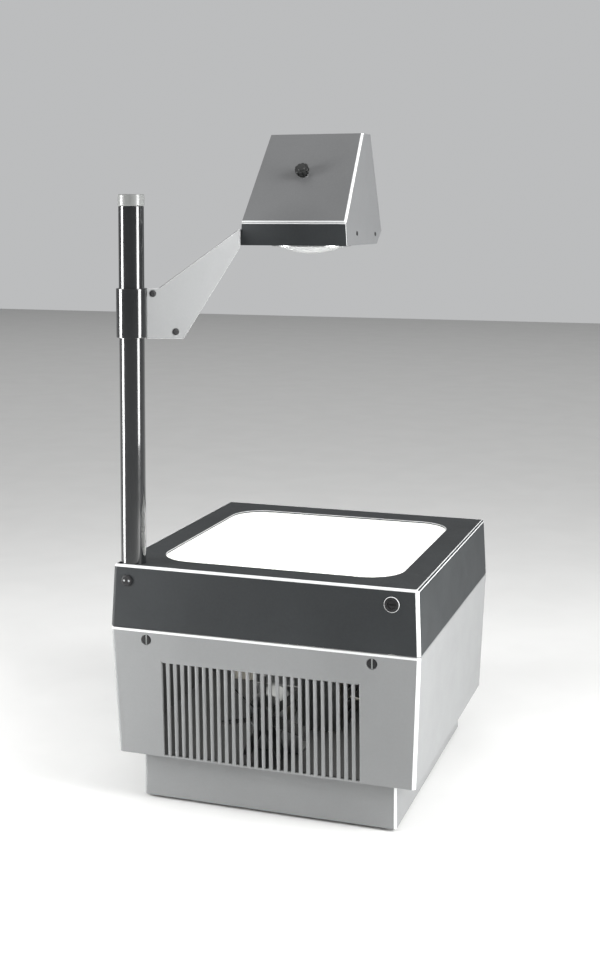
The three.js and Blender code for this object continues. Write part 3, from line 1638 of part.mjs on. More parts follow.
// Foot pad: a cup on the spindle's tip that bears on the carrier
const footPadBottom = footPadGap - mirrorDepth;
const footPadTop = footPadBottom + footPadThickness;

function screwFoot() {
  const cup = turned([
    [0, footPadBottom],
    [footPadRadius, footPadBottom],
    [footPadRadius, footPadTop],
    [spindleRadius + fit, footPadTop],
    [spindleRadius + fit, footPadTop - footPadBoreDepth],
    [0, footPadTop - footPadBoreDepth],
  ]);
  const foot = piece('screw_foot', cup, brass());
  foot.position.set(screwX, screwAlongSlope, 0);
  return foot;
}

function mirrorKnob() {
  const knobTop = mirrorKnobBottom + mirrorKnobHeight;
  const body = weld([
    grippedKnob('z', mirrorKnobRadius, mirrorKnobBottom, knobTop, mirrorKnobGrips, mirrorKnobGripRadius),
    bar('z', mirrorKnobNoseRadius, mirrorKnobBottom, knobTop + mirrorKnobNoseHeight, [0, 0], smallRoundSteps),
    bar('z', spindleRadius, footPadTop - footPadBoreDepth + fit, knobTop, [0, 0], smallRoundSteps),
  ]);
  const knob = piece('mirror_knob', body, blackPlastic());
  knob.position.set(screwX, screwAlongSlope, 0);
  return knob;
}

function baseGroup() {
  const group = new THREE.Group();
  const screwZ = seamZ - casingScrewDrop;
  const seats = [casingScrewLeftX, casingScrewRightX].map((x) => wallGroup(x, screwZ, casingHalfDepth, -1));
  seats[0].add(casingScrew('casing_screw_left'));
  seats[1].add(casingScrew('casing_screw_right'));
  const inlet = wallGroup(inletX, rearPanelZ, casingHalfDepth, 1);
  const fuse = wallGroup(fuseX, rearPanelZ, casingHalfDepth, 1);
  const rocker = wallGroup(switchX, rearPanelZ, casingHalfDepth, 1);
  inlet.add(powerInlet());
  fuse.add(fuseHolder());
  rocker.add(switchBody(), switchRocker());
  group.add(plinthTray(), ...rubberFeet(), chassisDeck());
  group.add(casingShell(seats, inlet, fuse, rocker), ...seats, inlet, fuse, rocker);
  group.add(lampHouse(), lampSocket(), halogenLamp(), lampReflector());
  group.add(heatFilter(), condenserRing(), condenserLens());
  group.add(fanBracket(), fanMotor(), fanImpeller());
  group.add(transformerCore(), transformerCoil(), terminalBlock(), ...leads());
  group.add(latchCatch(), hingeLeafFixed(), hingePin());
  return group;
}

function coverGroup() {
  const group = new THREE.Group();
  const clampSeat = wallGroup(postX, lockZ, coverHalfDepth, -1);
  clampSeat.add(
    slottedScrew(
      'post_clamp_screw',
      fit,
      clampScrewHeadRadius,
      clampScrewHeadThickness,
      clampScrewShankRadius,
      clampScrewShankLength,
      steel(),
    ),
  );
  group.add(coverFrame(clampSeat), clampSeat, maskPlate(), stageGlass(), fieldLens());
  group.add(hingeLeafMoving(), lockRing(), lockBarrel(), lockTongue(), postSocket());
  const post = new THREE.Group();
  post.position.set(postX, postY, 0);
  post.rotation.z = armAngle;
  post.add(postTube(), postRack(), postCap());
  group.add(post);
  return group;
}

function carriageGroup() {
  const group = new THREE.Group();
  const drive = new THREE.Group();
  drive.position.set(postX, postY, 0);
  drive.rotation.z = armAngle;
  drive.add(collar(), driveHousing(), armPlate(), focusPinion(), focusKnob());
  const head = new THREE.Group();
  head.position.z = headBottomZ;
  const slope = slopeGroup();
  slope.add(mirrorAxle(), mirrorCarrier(), mirrorGlass(), screwBush(), screwFoot(), mirrorKnob());
  head.add(headHousing(slope), lensBoard(), lensRing(), objectiveLens(), slope);
  group.add(drive, head);
  return group;
}

const projector = new THREE.Group();
projector.add(baseGroup(), coverGroup(), carriageGroup());

export default projector;
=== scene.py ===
"""Overhead projector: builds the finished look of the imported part, piece by piece.

The script is laid out as an add-on and run as a script. Lengths are in millimetres and become
metres where a piece is made; only the settings that a user would change and the studio are in
metres. +X is the right-hand side, -Y the grille side and +Z up; the origin is the middle of the
footprint on the table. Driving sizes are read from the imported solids.
"""

import json
import math

import bmesh
import bpy
from mathutils import Matrix, Vector

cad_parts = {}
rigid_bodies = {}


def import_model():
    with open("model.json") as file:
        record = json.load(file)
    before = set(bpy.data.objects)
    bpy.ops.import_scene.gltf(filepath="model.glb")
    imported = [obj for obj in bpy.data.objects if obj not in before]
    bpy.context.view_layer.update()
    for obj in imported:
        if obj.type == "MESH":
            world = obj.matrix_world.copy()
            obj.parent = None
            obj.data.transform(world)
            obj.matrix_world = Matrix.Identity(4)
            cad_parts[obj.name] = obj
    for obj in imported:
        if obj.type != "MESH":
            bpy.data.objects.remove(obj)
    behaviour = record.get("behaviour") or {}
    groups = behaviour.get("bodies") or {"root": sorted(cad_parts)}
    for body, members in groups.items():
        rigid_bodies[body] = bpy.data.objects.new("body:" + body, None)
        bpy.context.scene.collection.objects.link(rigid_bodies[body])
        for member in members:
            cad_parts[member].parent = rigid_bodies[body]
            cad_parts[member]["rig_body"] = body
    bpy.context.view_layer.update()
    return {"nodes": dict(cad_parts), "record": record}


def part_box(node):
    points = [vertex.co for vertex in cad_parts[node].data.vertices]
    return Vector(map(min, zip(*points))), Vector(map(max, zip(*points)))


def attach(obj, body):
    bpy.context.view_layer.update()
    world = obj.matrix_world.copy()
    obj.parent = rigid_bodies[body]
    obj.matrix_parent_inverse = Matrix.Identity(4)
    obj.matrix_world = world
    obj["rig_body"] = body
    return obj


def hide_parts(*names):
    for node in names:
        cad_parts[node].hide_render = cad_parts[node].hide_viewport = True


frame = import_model()
NODES = frame["nodes"]

bl_info = {
    "name": "Overhead projector",
    "version": (1, 0, 0),
    "blender": (4, 5, 0),
    "location": "View3D > Sidebar > Projector",
    "description": "Builds the pieces and finishes of an overhead projector",
    "category": "Object",
}


def mm(value):
    """Millimetres as metres, for a number or a point."""
    if isinstance(value, (int, float)):
        return value * 0.001
    return Vector(value) * 0.001


def extent(node):
    """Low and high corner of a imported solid, in millimetres."""
    return [Vector([round(1000 * value, 3) for value in corner]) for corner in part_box(node)]


def centre_of(node):
    """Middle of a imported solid, in millimetres."""
    low, high = extent(node)
    return (low + high) / 2


# Clearances, and how far a cutter reaches past what it cuts
FIT = 0.3
REST_GAP = 0.2
OVERRUN = 20.0

# The casing widens upwards by its draft, and the cover above it narrows by its own
PLINTH_LOW, PLINTH_HIGH = extent("plinth_tray")
CASING_LOW, CASING_HIGH = extent("casing_shell")
COVER_LOW, COVER_HIGH = extent("cover_frame")
MASK_LOW, MASK_HIGH = extent("mask_plate")
CASING_DRAFT = 6.5
COVER_DRAFT = 3.0
CASING_SLOPE = CASING_DRAFT / (CASING_HIGH.z - CASING_LOW.z)
COVER_SLOPE = COVER_DRAFT / (COVER_HIGH.z - COVER_LOW.z)
SHELL_WALL = 2.5
HOLLOW_CORNER = 2.5
MASK_CORNER = 2.2
STAGE_OPENING = 285.0

# The directions that flat sides face
UP = Vector((0, 0, 1))
AHEAD = Vector((0, -1, 0))
CASING_FRONT = Vector((0, -1, -CASING_SLOPE)).normalized()
CASING_REAR = Vector((0, 1, -CASING_SLOPE)).normalized()
COVER_FRONT = Vector((0, -1, COVER_SLOPE)).normalized()
COVER_REAR = Vector((0, 1, COVER_SLOPE)).normalized()


def casing_front(z):
    """Depth of the casing's front, which leans out upwards, at a height."""
    return CASING_HIGH.y - CASING_SLOPE * (CASING_HIGH.z - z)


def cover_front(z):
    """Depth of the cover's front, which leans in upwards, at a height."""
    return CASING_HIGH.y - COVER_SLOPE * (z - COVER_LOW.z)


# The post, the head above the stage and the arm from one to the other
POST_LOW, POST_HIGH = extent("post_tube")
POST = tuple(centre_of("post_tube").xy)
POST_RADIUS = 14.3
POST_WALL = 2.0
COLLAR_RADIUS = 17.5
ARM_THICKNESS = 3.0
HEAD_LOW, HEAD_HIGH = extent("head_housing")
HEAD_HEIGHT = HEAD_HIGH.z - HEAD_LOW.z
HEAD_LEAN = 6.6 / HEAD_HEIGHT
BAND_HEIGHT = 27.0
RIDGE_FRONT = 19.0
ARM_END = (HEAD_LOW.x - FIT - ARM_THICKNESS / 2 - POST[0], HEAD_LOW.y - POST[1])
ARM_ANGLE = math.atan2(ARM_END[1], ARM_END[0])
ARM_LENGTH = math.hypot(*ARM_END)
ALONG = Vector((math.cos(ARM_ANGLE), math.sin(ARM_ANGLE), 0))
ACROSS = Vector((-math.sin(ARM_ANGLE), math.cos(ARM_ANGLE), 0))

# The rack's teeth across the arm, and the pinion's shaft beside the post
RACK_FROM = 3.0
RACK_TO = 7.0
PINION_ALONG = 18.37
PINION_Z = 556.0
SHAFT_WAY = 3.3

# The knob on the head's slope
SLOPE_ANGLE = math.atan2(HEAD_HEIGHT - BAND_HEIGHT, RIDGE_FRONT - HEAD_LOW.y)
SLOPE = Vector((0, math.cos(SLOPE_ANGLE), math.sin(SLOPE_ANGLE)))
SLOPE_NORMAL = Vector((0, -math.sin(SLOPE_ANGLE), math.cos(SLOPE_ANGLE)))
KNOB_X = -3.0
KNOB_UP_SLOPE = 73.6
KNOB_FOOT = Vector((KNOB_X, HEAD_LOW.y, HEAD_LOW.z + BAND_HEIGHT)) + KNOB_UP_SLOPE * SLOPE

# Casing screws, and the lock and clamp screw level with each other in the cover's front
SCREW_Z = CASING_HIGH.z - 11.5
SCREW_HEAD = 5.5
SCREW_SUNK = 1.3
SCREW_SHANK = 2.5
LOCK_Z = COVER_HIGH.z - 17.5
LOCK_SEAT_DEPTH = 1.2
LOCK_RING = 8.5
LOCK = Vector((centre_of("lock_ring").x, LOCK_SEAT_DEPTH - cover_front(LOCK_Z), LOCK_Z))
CLAMP = Vector((POST[0], -cover_front(LOCK_Z), LOCK_Z))


def arm_point(along, across, z):
    """A point given along the arm, across it and up, from the post's axis."""
    return Vector((*POST, z)) + along * ALONG + across * ACROSS


def head_side(lift):
    """Half width of the head, which narrows upwards, at a height above its bottom."""
    return HEAD_HIGH.x - HEAD_LEAN * lift


# Settings that a user would change


class ProjectorSizes(bpy.types.PropertyGroup):
    """Small shapes, in metres, that don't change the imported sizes, and the light of the stage."""

    corner_radius: bpy.props.FloatProperty(
        name="Housing corner radius", description="Radius of the upright corners of cover and casing",
        default=0.005, min=0.001, max=0.008, unit="LENGTH")
    rim_round: bpy.props.FloatProperty(
        name="Rim rounding", description="Rounding of the cover's and casing's top edges",
        default=0.0026, min=0.0003, max=0.003, unit="LENGTH")
    rib_round: bpy.props.FloatProperty(
        name="Rib rounding", description="Rounding of the grille's ribs",
        default=0.0017, min=0.0002, max=0.0019, unit="LENGTH")
    head_round: bpy.props.FloatProperty(
        name="Head edge rounding", description="Rounding of the head's folded edges",
        default=0.0024, min=0.0005, max=0.0025, unit="LENGTH")
    plate_round: bpy.props.FloatProperty(
        name="Plate edge rounding", description="Rounding of the arm's edges",
        default=0.0006, min=0.0001, max=0.001, unit="LENGTH")
    stage_radius: bpy.props.FloatProperty(
        name="Stage corner radius", description="Corner radius of the bright stage opening",
        default=0.040, min=0.01, max=0.06, unit="LENGTH")
    stage_light: bpy.props.FloatProperty(
        name="Stage light", description="Strength of the light that the field lens gives",
        default=2.6, min=0.0, max=10.0)


class ProjectorColours(bpy.types.PropertyGroup):
    """Main colours of the finishes."""

    casing_grey: bpy.props.FloatVectorProperty(
        name="Casing grey", description="Paint of casing, plinth and arm",
        default=(0.24, 0.245, 0.247), subtype="COLOR", min=0, max=1)
    head_grey: bpy.props.FloatVectorProperty(
        name="Head grey", description="Darker paint of the mirror head",
        default=(0.155, 0.158, 0.161), subtype="COLOR", min=0, max=1)
    cover_black: bpy.props.FloatVectorProperty(
        name="Cover black", description="Wrinkle paint of the cover and the head's band",
        default=(0.026, 0.029, 0.031), subtype="COLOR", min=0, max=1)
    # Pale paint for edges and corners where the light catches them: a painted highlight
    edge_highlight: bpy.props.FloatVectorProperty(
        name="Rubbed edge", description="Paint on edges that hands have rubbed light",
        default=(0.78, 0.79, 0.79), subtype="COLOR", min=0, max=1)
    gloss_black: bpy.props.FloatVectorProperty(
        name="Gloss black", description="Enamel of the post and its collar",
        default=(0.012, 0.013, 0.014), subtype="COLOR", min=0, max=1)
    floor_pale: bpy.props.FloatVectorProperty(
        name="Floor", description="Plain floor under the object",
        default=(0.80, 0.80, 0.79), subtype="COLOR", min=0, max=1)


def user_length(name):
    """A length among the user's settings, in millimetres."""
    return 1000 * getattr(bpy.context.scene.projector_sizes, name)


# Modelling by hand: selection, blocks, cuts and roundings

# Reach within which points are one, the angles of smooth shading and of a folded edge, and how
# many times longer than the rounding at each of its ends a profile's side is
WELD = 0.002
SMOOTH_BELOW = 32
FOLD_ABOVE = 25
LEAST_SIDE = 2.2


def clear_selection():
    """Goes back to object mode with nothing selected."""
    if bpy.context.object is not None and bpy.context.object.mode != "OBJECT":
        leave()
    bpy.ops.object.select_all(action="DESELECT")


def leave():
    """Leaves edit mode."""
    bpy.ops.object.mode_set(mode="OBJECT")


def make_active(piece):
    """Makes a piece the active one, and the only one selected."""
    clear_selection()
    piece.select_set(True)
    bpy.context.view_layer.objects.active = piece


def named(piece, name):
    """Names a piece and its mesh, and applies where and how it was placed."""
    piece.name = name
    piece.data.name = name
    bpy.ops.object.transform_apply(location=True, rotation=True, scale=True)
    return piece


def block(name, low, high, turn=0.0, about=None):
    """A block between two corners, that may be turned about an upright axis."""
    low, high = Vector(low), Vector(high)
    middle = (low + high) / 2
    if about is not None:
        middle = Vector((*about, 0)) + Matrix.Rotation(turn, 3, "Z") @ middle
    clear_selection()
    bpy.ops.mesh.primitive_cube_add(
        size=1, location=mm(middle), rotation=(0, 0, turn), scale=mm(high - low))
    return named(bpy.context.object, name)


def rod(name, radius, start, end, sides=64):
    """A round rod between two points."""
    start, end = Vector(start), Vector(end)
    axis = end - start
    clear_selection()
    bpy.ops.mesh.primitive_cylinder_add(
        vertices=sides, radius=mm(radius), depth=mm(axis.length),
        location=mm((start + end) / 2), rotation=axis.to_track_quat("Z", "Y").to_euler())
    return named(bpy.context.object, name)


def drawn(name, points):
    """A new piece in edit mode that is a line, drawn from point to point."""
    points = [Vector(point) for point in points]
    clear_selection()
    bpy.ops.mesh.primitive_plane_add(size=mm(1), location=mm(points[0]))
    piece = named(bpy.context.object, name)
    bpy.ops.object.mode_set(mode="EDIT")
    bpy.ops.mesh.select_mode(type="VERT")
    bpy.ops.mesh.select_all(action="SELECT")
    bpy.ops.mesh.merge(type="CENTER")
    for here, after in zip(points, points[1:]):
        bpy.ops.mesh.extrude_vertices_move(TRANSFORM_OT_translate={"value": mm(after - here)})
    bpy.ops.mesh.select_all(action="SELECT")
    return piece


def closed_up(piece):
    """Leaves edit mode with all faces turned outwards."""
    bpy.ops.mesh.select_all(action="SELECT")
    bpy.ops.mesh.normals_make_consistent(inside=False)
    leave()
    return piece


def spun(name, profile, steps=96):
    """A turned piece about Z: its profile of (radius, height) is drawn and spun."""
    piece = drawn(name, [(radius, 0, height) for radius, height in profile])
    bpy.ops.mesh.spin(steps=steps, angle=2 * math.pi, center=(0, 0, 0), axis=(0, 0, 1))
    bpy.ops.mesh.select_all(action="SELECT")
    bpy.ops.mesh.remove_doubles(threshold=mm(WELD))
    return closed_up(piece)


def plate(name, corners, depth):
    """A plate: its outline is drawn corner by corner, filled and given its depth."""
    piece = drawn(name, [*corners, corners[0]])
    bpy.ops.mesh.remove_doubles(threshold=mm(WELD))
    bpy.ops.mesh.select_all(action="SELECT")
    bpy.ops.mesh.edge_face_add()
    bpy.ops.mesh.extrude_region_move(TRANSFORM_OT_translate={"value": mm(depth)})
    return closed_up(piece)


def eased(points, reach, closed=False, steps=3):
    """Rounds the corners of a profile, apart from its two ends where it is open."""
    count = len(points)
    out = []
    for index, point in enumerate(points):
        here = Vector(point)
        if not closed and index in (0, count - 1):
            out.append(tuple(here))
            continue
        back = Vector(points[index - 1]) - here
        on = Vector(points[(index + 1) % count]) - here
        near = min(reach, back.length / LEAST_SIDE, on.length / LEAST_SIDE)
        start, end = here + back.normalized() * near, here + on.normalized() * near
        for step in range(steps + 1):
            done = step / steps
            left = 1 - done
            out.append(tuple(start * left ** 2 + here * 2 * done * left + end * done ** 2))
    if closed:
        out.append(out[0])
    return out


def turned(name, profile, reach, sides=64, closed=False, steps=3):
    """A turned piece whose profile has eased corners."""
    return spun(name, eased(profile, reach, closed, steps), sides)


def settle(piece, place, direction, roll=0.0):
    """Moves a piece made at the origin along +Z to its place, facing its direction."""
    make_active(piece)
    facing = Vector(direction).to_track_quat("Z", "Y").to_matrix()
    piece.location = mm(place)
    piece.rotation_euler = (facing @ Matrix.Rotation(math.radians(roll), 3, "Z")).to_euler()
    bpy.ops.object.transform_apply(location=True, rotation=True, scale=True)
    return piece


def on_post(piece):
    """Moves a turned piece onto the post's axis."""
    return settle(piece, (*POST, 0), UP)


def copy_of(piece, name):
    """A copy with its own mesh."""
    twin = piece.copy()
    twin.data = piece.data.copy()
    bpy.context.scene.collection.objects.link(twin)
    twin.name = name
    twin.data.name = name
    return twin


def pick(piece, kind, test):
    """Goes into edit mode and selects the vertices, edges or faces that pass the test."""
    make_active(piece)
    bpy.ops.object.mode_set(mode="EDIT")
    bpy.ops.mesh.select_mode(type=kind)
    bpy.ops.mesh.select_all(action="DESELECT")
    mesh = bmesh.from_edit_mesh(piece.data)
    parts = {"VERT": mesh.verts, "EDGE": mesh.edges, "FACE": mesh.faces}[kind]
    chosen = [part for part in parts if test(part)]
    for part in chosen:
        part.select_set(True)
    mesh.select_flush_mode()
    bmesh.update_edit_mesh(piece.data)
    if not chosen:
        raise RuntimeError(f"nothing to select on {piece.name}")


def mid(part):
    """Middle of an edge or face, in millimetres."""
    if isinstance(part, bmesh.types.BMEdge):
        return (part.verts[0].co + part.verts[1].co) * 500
    return part.calc_center_median() * 1000


def run_of(edge):
    """Direction of an edge."""
    return (edge.verts[1].co - edge.verts[0].co).normalized()


def folded(edge):
    """Whether two faces meet at an edge with a fold between them."""
    return len(edge.link_faces) == 2 and edge.calc_face_angle(0) > math.radians(FOLD_ABOVE)


def upright(edge):
    return abs(run_of(edge).z) > 0.9


def steep(edge):
    return abs(run_of(edge).z) > 0.8


def level(edge):
    return abs(run_of(edge).z) < 0.1


def at_height(z, within=None, reach=0.06):
    """A test for level edges at a height, and inside a half width and half depth if given."""
    def test(edge):
        place = mid(edge)
        inside = within is None or (abs(place.x) < within[0] and abs(place.y) < within[1])
        return inside and level(edge) and abs(place.z - z) < reach
    return test


def at_outline(z, half, reach):
    """A test for level edges at a height that lie within a reach of an outline."""
    def test(edge):
        place = mid(edge)
        near = abs(place.x) > half[0] - reach or abs(place.y) > half[1] - reach
        return near and at_height(z)(edge)
    return test


def right_corner(face):
    """Whether a face lies on the round front right corner of plinth, casing or cover."""
    outward = face.normal.x > 0.2 and face.normal.y < -0.2 and abs(face.normal.z) < 0.3
    return outward and mid(face).x > PLINTH_HIGH.x / 2 and mid(face).y < PLINTH_LOW.y / 2


def round_edges(piece, test, width, steps=3, highlighted=False):
    """Rounds the folded edges that pass the test; highlighted ones take the second finish, a pale paint that
    paints in a highlight.
    """
    pick(piece, "EDGE", lambda edge: folded(edge) and test(edge))
    bpy.ops.mesh.bevel(
        offset=mm(width), segments=steps, affect="EDGES", clamp_overlap=True,
        material=1 if highlighted else -1)
    leave()


def taper(piece, z, share_x, share_y):
    """Draws in or widens the vertices at a height."""
    pick(piece, "VERT", lambda vert: abs(vert.co.z * 1000 - z) < 0.05)
    bpy.ops.transform.resize(value=(share_x, share_y, 1), center_override=(0, 0, mm(z)))
    leave()


def housing(name, front, low_z, high_z, corner, wall=0.0):
    """A drafted housing with round upright corners, or the hollow that leaves it a wall."""
    narrower = CASING_HIGH.y - CASING_HIGH.x
    low, high = front(low_z) - wall, front(high_z) - wall
    piece = block(name, (narrower - low, -low, low_z), (low - narrower, low, high_z))
    taper(piece, high_z, (high - narrower) / (low - narrower), high / low)
    round_edges(piece, upright, corner, steps=6)
    return piece


def sink(piece, test, wall, depth):
    """Insets the faces that pass the test and moves them by a depth along Z."""
    pick(piece, "FACE", test)
    bpy.ops.mesh.inset(thickness=mm(wall), depth=0)
    bpy.ops.mesh.extrude_region_move(TRANSFORM_OT_translate={"value": mm((0, 0, depth))})
    leave()


def add_step(piece, kind, **values):
    """Adds a modifier, sets it and applies it."""
    make_active(piece)
    step = piece.modifiers.new(kind.lower(), kind)
    for key, value in values.items():
        setattr(step, key, value)
    bpy.ops.object.modifier_apply(modifier=step.name)


def combine(piece, other, operation="DIFFERENCE"):
    """Cuts or joins with another solid, which is then removed; a cutter's finish stays in the cut."""
    add_step(piece, "BOOLEAN", operation=operation, solver="EXACT", object=other, material_mode="TRANSFER")
    mesh = other.data
    bpy.data.objects.remove(other)
    bpy.data.meshes.remove(mesh)


def bore(piece, name, radius, start, end, sides=64):
    """Cuts a round hole between two points."""
    combine(piece, rod(name, radius, start, end, sides))


def in_row(piece, count, pitch, middle=0.0):
    """Repeats a cutter along X, in a row about a middle."""
    add_step(piece, "ARRAY", count=count, use_relative_offset=False,
             use_constant_offset=True, constant_offset_displace=(mm(pitch), 0, 0))
    pick(piece, "VERT", lambda vert: True)
    bpy.ops.transform.translate(value=mm((middle - pitch * (count - 1) / 2, 0, 0)))
    leave()
    return piece


def gripped(knob, ring, count, radius, low, high, sides):
    """Cuts finger grips round a knob, centred on a ring of its own radius."""
    for index in range(count):
        angle = 2 * math.pi * index / count
        grip = (ring * math.cos(angle), ring * math.sin(angle))
        bore(knob, "grip_cutter", radius, (*grip, low), (*grip, high), sides)


def give_finishes(piece, *names):
    """Gives a piece its finishes; a rounding or cut that comes after it finds the second one."""
    piece.data.materials.clear()
    for name in names:
        piece.data.materials.append(FINISHES[name])


def score(piece, z):
    """Divides the faces at a height, so that the strip above it can take another finish."""
    pick(piece, "FACE", lambda face: True)
    bpy.ops.mesh.bisect(plane_co=mm((0, 0, z)), plane_no=(0, 0, 1))
    leave()


def highlight_faces(piece, test, finish=1):
    """Gives the faces that pass the test the second finish, a pale paint that paints in a highlight, or the
    first one back.
    """
    pick(piece, "FACE", test)
    piece.active_material_index = finish
    bpy.ops.object.material_slot_assign()
    leave()


def screw(name, radius, bottom, top, shank, shank_to, slot_width=1.5, slot_depth=0.7, bare=False):
    """A slotted screw at the origin with its head along +Z; a much used slot is bare metal, worn and also
    set there as a painted glint.
    """
    crown = (top - bottom) * 0.35
    head = [(0, top), (radius * 0.55, top - crown * 0.1), (radius * 0.88, top - crown * 0.55),
            (radius, top - crown), (radius, bottom), (shank, bottom), (shank, shank_to), (0, shank_to)]
    piece = turned(name, head, reach=0.25, sides=48, steps=2)
    slot = block("screw_slot", (-slot_width / 2, -radius - 1, top - slot_depth),
                 (slot_width / 2, radius + 1, top + 1))
    # The bare slot is worn metal and also a painted glint
    if bare:
        give_finishes(piece, "screw_black", "cast_alloy")
        give_finishes(slot, "cast_alloy")
    combine(piece, slot)
    return piece


# Finishes

FINISHES = {}
NOWHERE = (0.0, 0.0, 0.0)
PALE = (0.8, 0.8, 0.8, 1.0)
DEEP = (0.4, 0.4, 0.4, 1.0)
DUST = (0.62, 0.61, 0.58, 1.0)


def group_with(name, inputs, outputs):
    """An empty node group with named sockets: a float, a colour of four or a vector of three."""
    tree = bpy.data.node_groups.new(name, "ShaderNodeTree")
    kinds = {1: "NodeSocketFloat", 3: "NodeSocketVector", 4: "NodeSocketColor"}
    for label, value in inputs:
        size = len(value) if isinstance(value, tuple) else 1
        socket = tree.interface.new_socket(name=label, in_out="INPUT", socket_type=kinds[size])
        socket.default_value = value
    for label, size in outputs:
        tree.interface.new_socket(name=label, in_out="OUTPUT", socket_type=kinds[size])
    return tree, tree.nodes.new("NodeGroupInput").outputs, tree.nodes.new("NodeGroupOutput").inputs


def wire(tree, value, socket):
    """Links an output to a socket, or gives the socket a plain value."""
    if isinstance(value, bpy.types.NodeSocket):
        tree.links.new(value, socket)
    else:
        socket.default_value = value


def noise(tree, place, scale, detail=4.0, rough=0.55, warp=0.0):
    """A cloudy value from 0 to 1."""
    made = tree.nodes.new("ShaderNodeTexNoise")
    wire(tree, place, made.inputs["Vector"])
    wire(tree, scale, made.inputs["Scale"])
    made.inputs["Detail"].default_value = detail
    made.inputs["Roughness"].default_value = rough
    made.inputs["Distortion"].default_value = warp
    return made.outputs[0]


def cells(tree, place, scale):
    """Distance from the middles of scattered cells."""
    made = tree.nodes.new("ShaderNodeTexVoronoi")
    wire(tree, place, made.inputs["Vector"])
    wire(tree, scale, made.inputs["Scale"])
    return made.outputs["Distance"]


def ramp(tree, value, low, high, to_low=0.0, to_high=1.0):
    """Spreads a value between two limits over another range."""
    made = tree.nodes.new("ShaderNodeMapRange")
    wire(tree, value, made.inputs["Value"])
    for label, number in (("From Min", low), ("From Max", high), ("To Min", to_low), ("To Max", to_high)):
        wire(tree, number, made.inputs[label])
    return made.outputs["Result"]


def reckon(tree, kind, first, second):
    """One step of arithmetic on two values."""
    made = tree.nodes.new("ShaderNodeMath")
    made.operation = kind
    wire(tree, first, made.inputs[0])
    wire(tree, second, made.inputs[1])
    return made.outputs[0]


def times(tree, first, second):
    return reckon(tree, "MULTIPLY", first, second)


def plus(tree, first, second):
    return reckon(tree, "ADD", first, second)


def blend_of(tree, share, first, second):
    """A colour between two colours."""
    made = tree.nodes.new("ShaderNodeMix")
    made.data_type = "RGBA"
    wire(tree, share, made.inputs[0])
    wire(tree, first, made.inputs[6])
    wire(tree, second, made.inputs[7])
    return made.outputs[2]


def stretched(tree, place, scale):
    """Coordinates with a scale of their own along each axis."""
    made = tree.nodes.new("ShaderNodeMapping")
    wire(tree, place, made.inputs["Vector"])
    made.inputs["Scale"].default_value = scale
    return made.outputs["Vector"]


def group_of_drift():
    """A colour that drifts between a pale and a deep tone, broadly and finely."""
    tree, given, out = group_with(
        "Paint drift", [("Place", NOWHERE), ("Pale", PALE), ("Deep", DEEP), ("Scale", 9.0)],
        [("Colour", 4)])
    place, scale = given["Place"], given["Scale"]
    broad = ramp(tree, noise(tree, place, scale, detail=3.0, rough=0.5, warp=0.4), 0.36, 0.66)
    fine = ramp(tree, noise(tree, place, times(tree, scale, 40.0)), 0.3, 0.7)
    share = plus(tree, times(tree, broad, 0.65), times(tree, fine, 0.35))
    wire(tree, blend_of(tree, share, given["Deep"], given["Pale"]), out["Colour"])


def group_of_skin():
    """The grain of a paint, with a wrinkle, and where it has been handled."""
    tree, given, out = group_with(
        "Paint skin", [("Place", NOWHERE), ("Grain", 900.0), ("Wrinkle", 0.5)],
        [("Height", 1), ("Wear", 1)])
    place, grain = given["Place"], given["Grain"]
    ripple = noise(tree, place, grain, detail=2.0, rough=0.5)
    cell = cells(tree, place, times(tree, grain, 0.7))
    wire(tree, plus(tree, ripple, times(tree, cell, given["Wrinkle"])), out["Height"])
    wear = noise(tree, place, 16.0, detail=5.0, rough=0.6, warp=0.3)
    wire(tree, ramp(tree, wear, 0.3, 0.75), out["Wear"])


def group_of_dust():
    """Dust in specks and drifts on what faces up."""
    tree, given, out = group_with(
        "Settled dust", [("Place", NOWHERE), ("Under", DEEP), ("Dust", PALE), ("Amount", 0.3)],
        [("Colour", 4), ("Mask", 1)])
    facing = tree.nodes.new("ShaderNodeSeparateXYZ")
    shape = tree.nodes.new("ShaderNodeNewGeometry")
    tree.links.new(shape.outputs["Normal"], facing.inputs[0])
    up = ramp(tree, facing.outputs["Z"], 0.35, 1.0)
    specks = ramp(tree, noise(tree, given["Place"], 420.0, detail=5.0, rough=0.7), 0.42, 0.72)
    drifts = ramp(tree, noise(tree, given["Place"], 12.0, detail=3.0, rough=0.5), 0.3, 0.75, 0.25, 1.0)
    mask = times(tree, times(tree, up, specks), times(tree, drifts, given["Amount"]))
    wire(tree, blend_of(tree, mask, given["Under"], given["Dust"]), out["Colour"])
    wire(tree, mask, out["Mask"])


def group_of_marks():
    """Drawn or cast marks: fine lines over broad patches."""
    tree, given, out = group_with(
        "Drawn marks", [("Place", NOWHERE), ("Scale", 700.0), ("Pale", PALE), ("Deep", DEEP)],
        [("Colour", 4), ("Height", 1), ("Mask", 1)])
    lines = noise(tree, given["Place"], given["Scale"], detail=3.0, rough=0.6)
    patches = ramp(tree, noise(tree, given["Place"], times(tree, given["Scale"], 0.04)), 0.35, 0.7)
    mask = plus(tree, times(tree, lines, 0.7), times(tree, patches, 0.3))
    wire(tree, blend_of(tree, ramp(tree, mask, 0.3, 0.7), given["Deep"], given["Pale"]), out["Colour"])
    wire(tree, lines, out["Height"])
    wire(tree, mask, out["Mask"])


def use(tree, group, **values):
    """Places a node group and gives its named inputs values or links."""
    made = tree.nodes.new("ShaderNodeGroup")
    made.node_tree = bpy.data.node_groups[group]
    for label, value in values.items():
        wire(tree, value, made.inputs[label])
    return made.outputs


def new_finish(name):
    """A material with its tree, its shader and the object's own coordinates."""
    finish = bpy.data.materials.new(name)
    finish.use_nodes = True
    tree = finish.node_tree
    place = tree.nodes.new("ShaderNodeTexCoord").outputs["Object"]
    FINISHES[name] = finish
    return tree, tree.nodes["Principled BSDF"].inputs, place


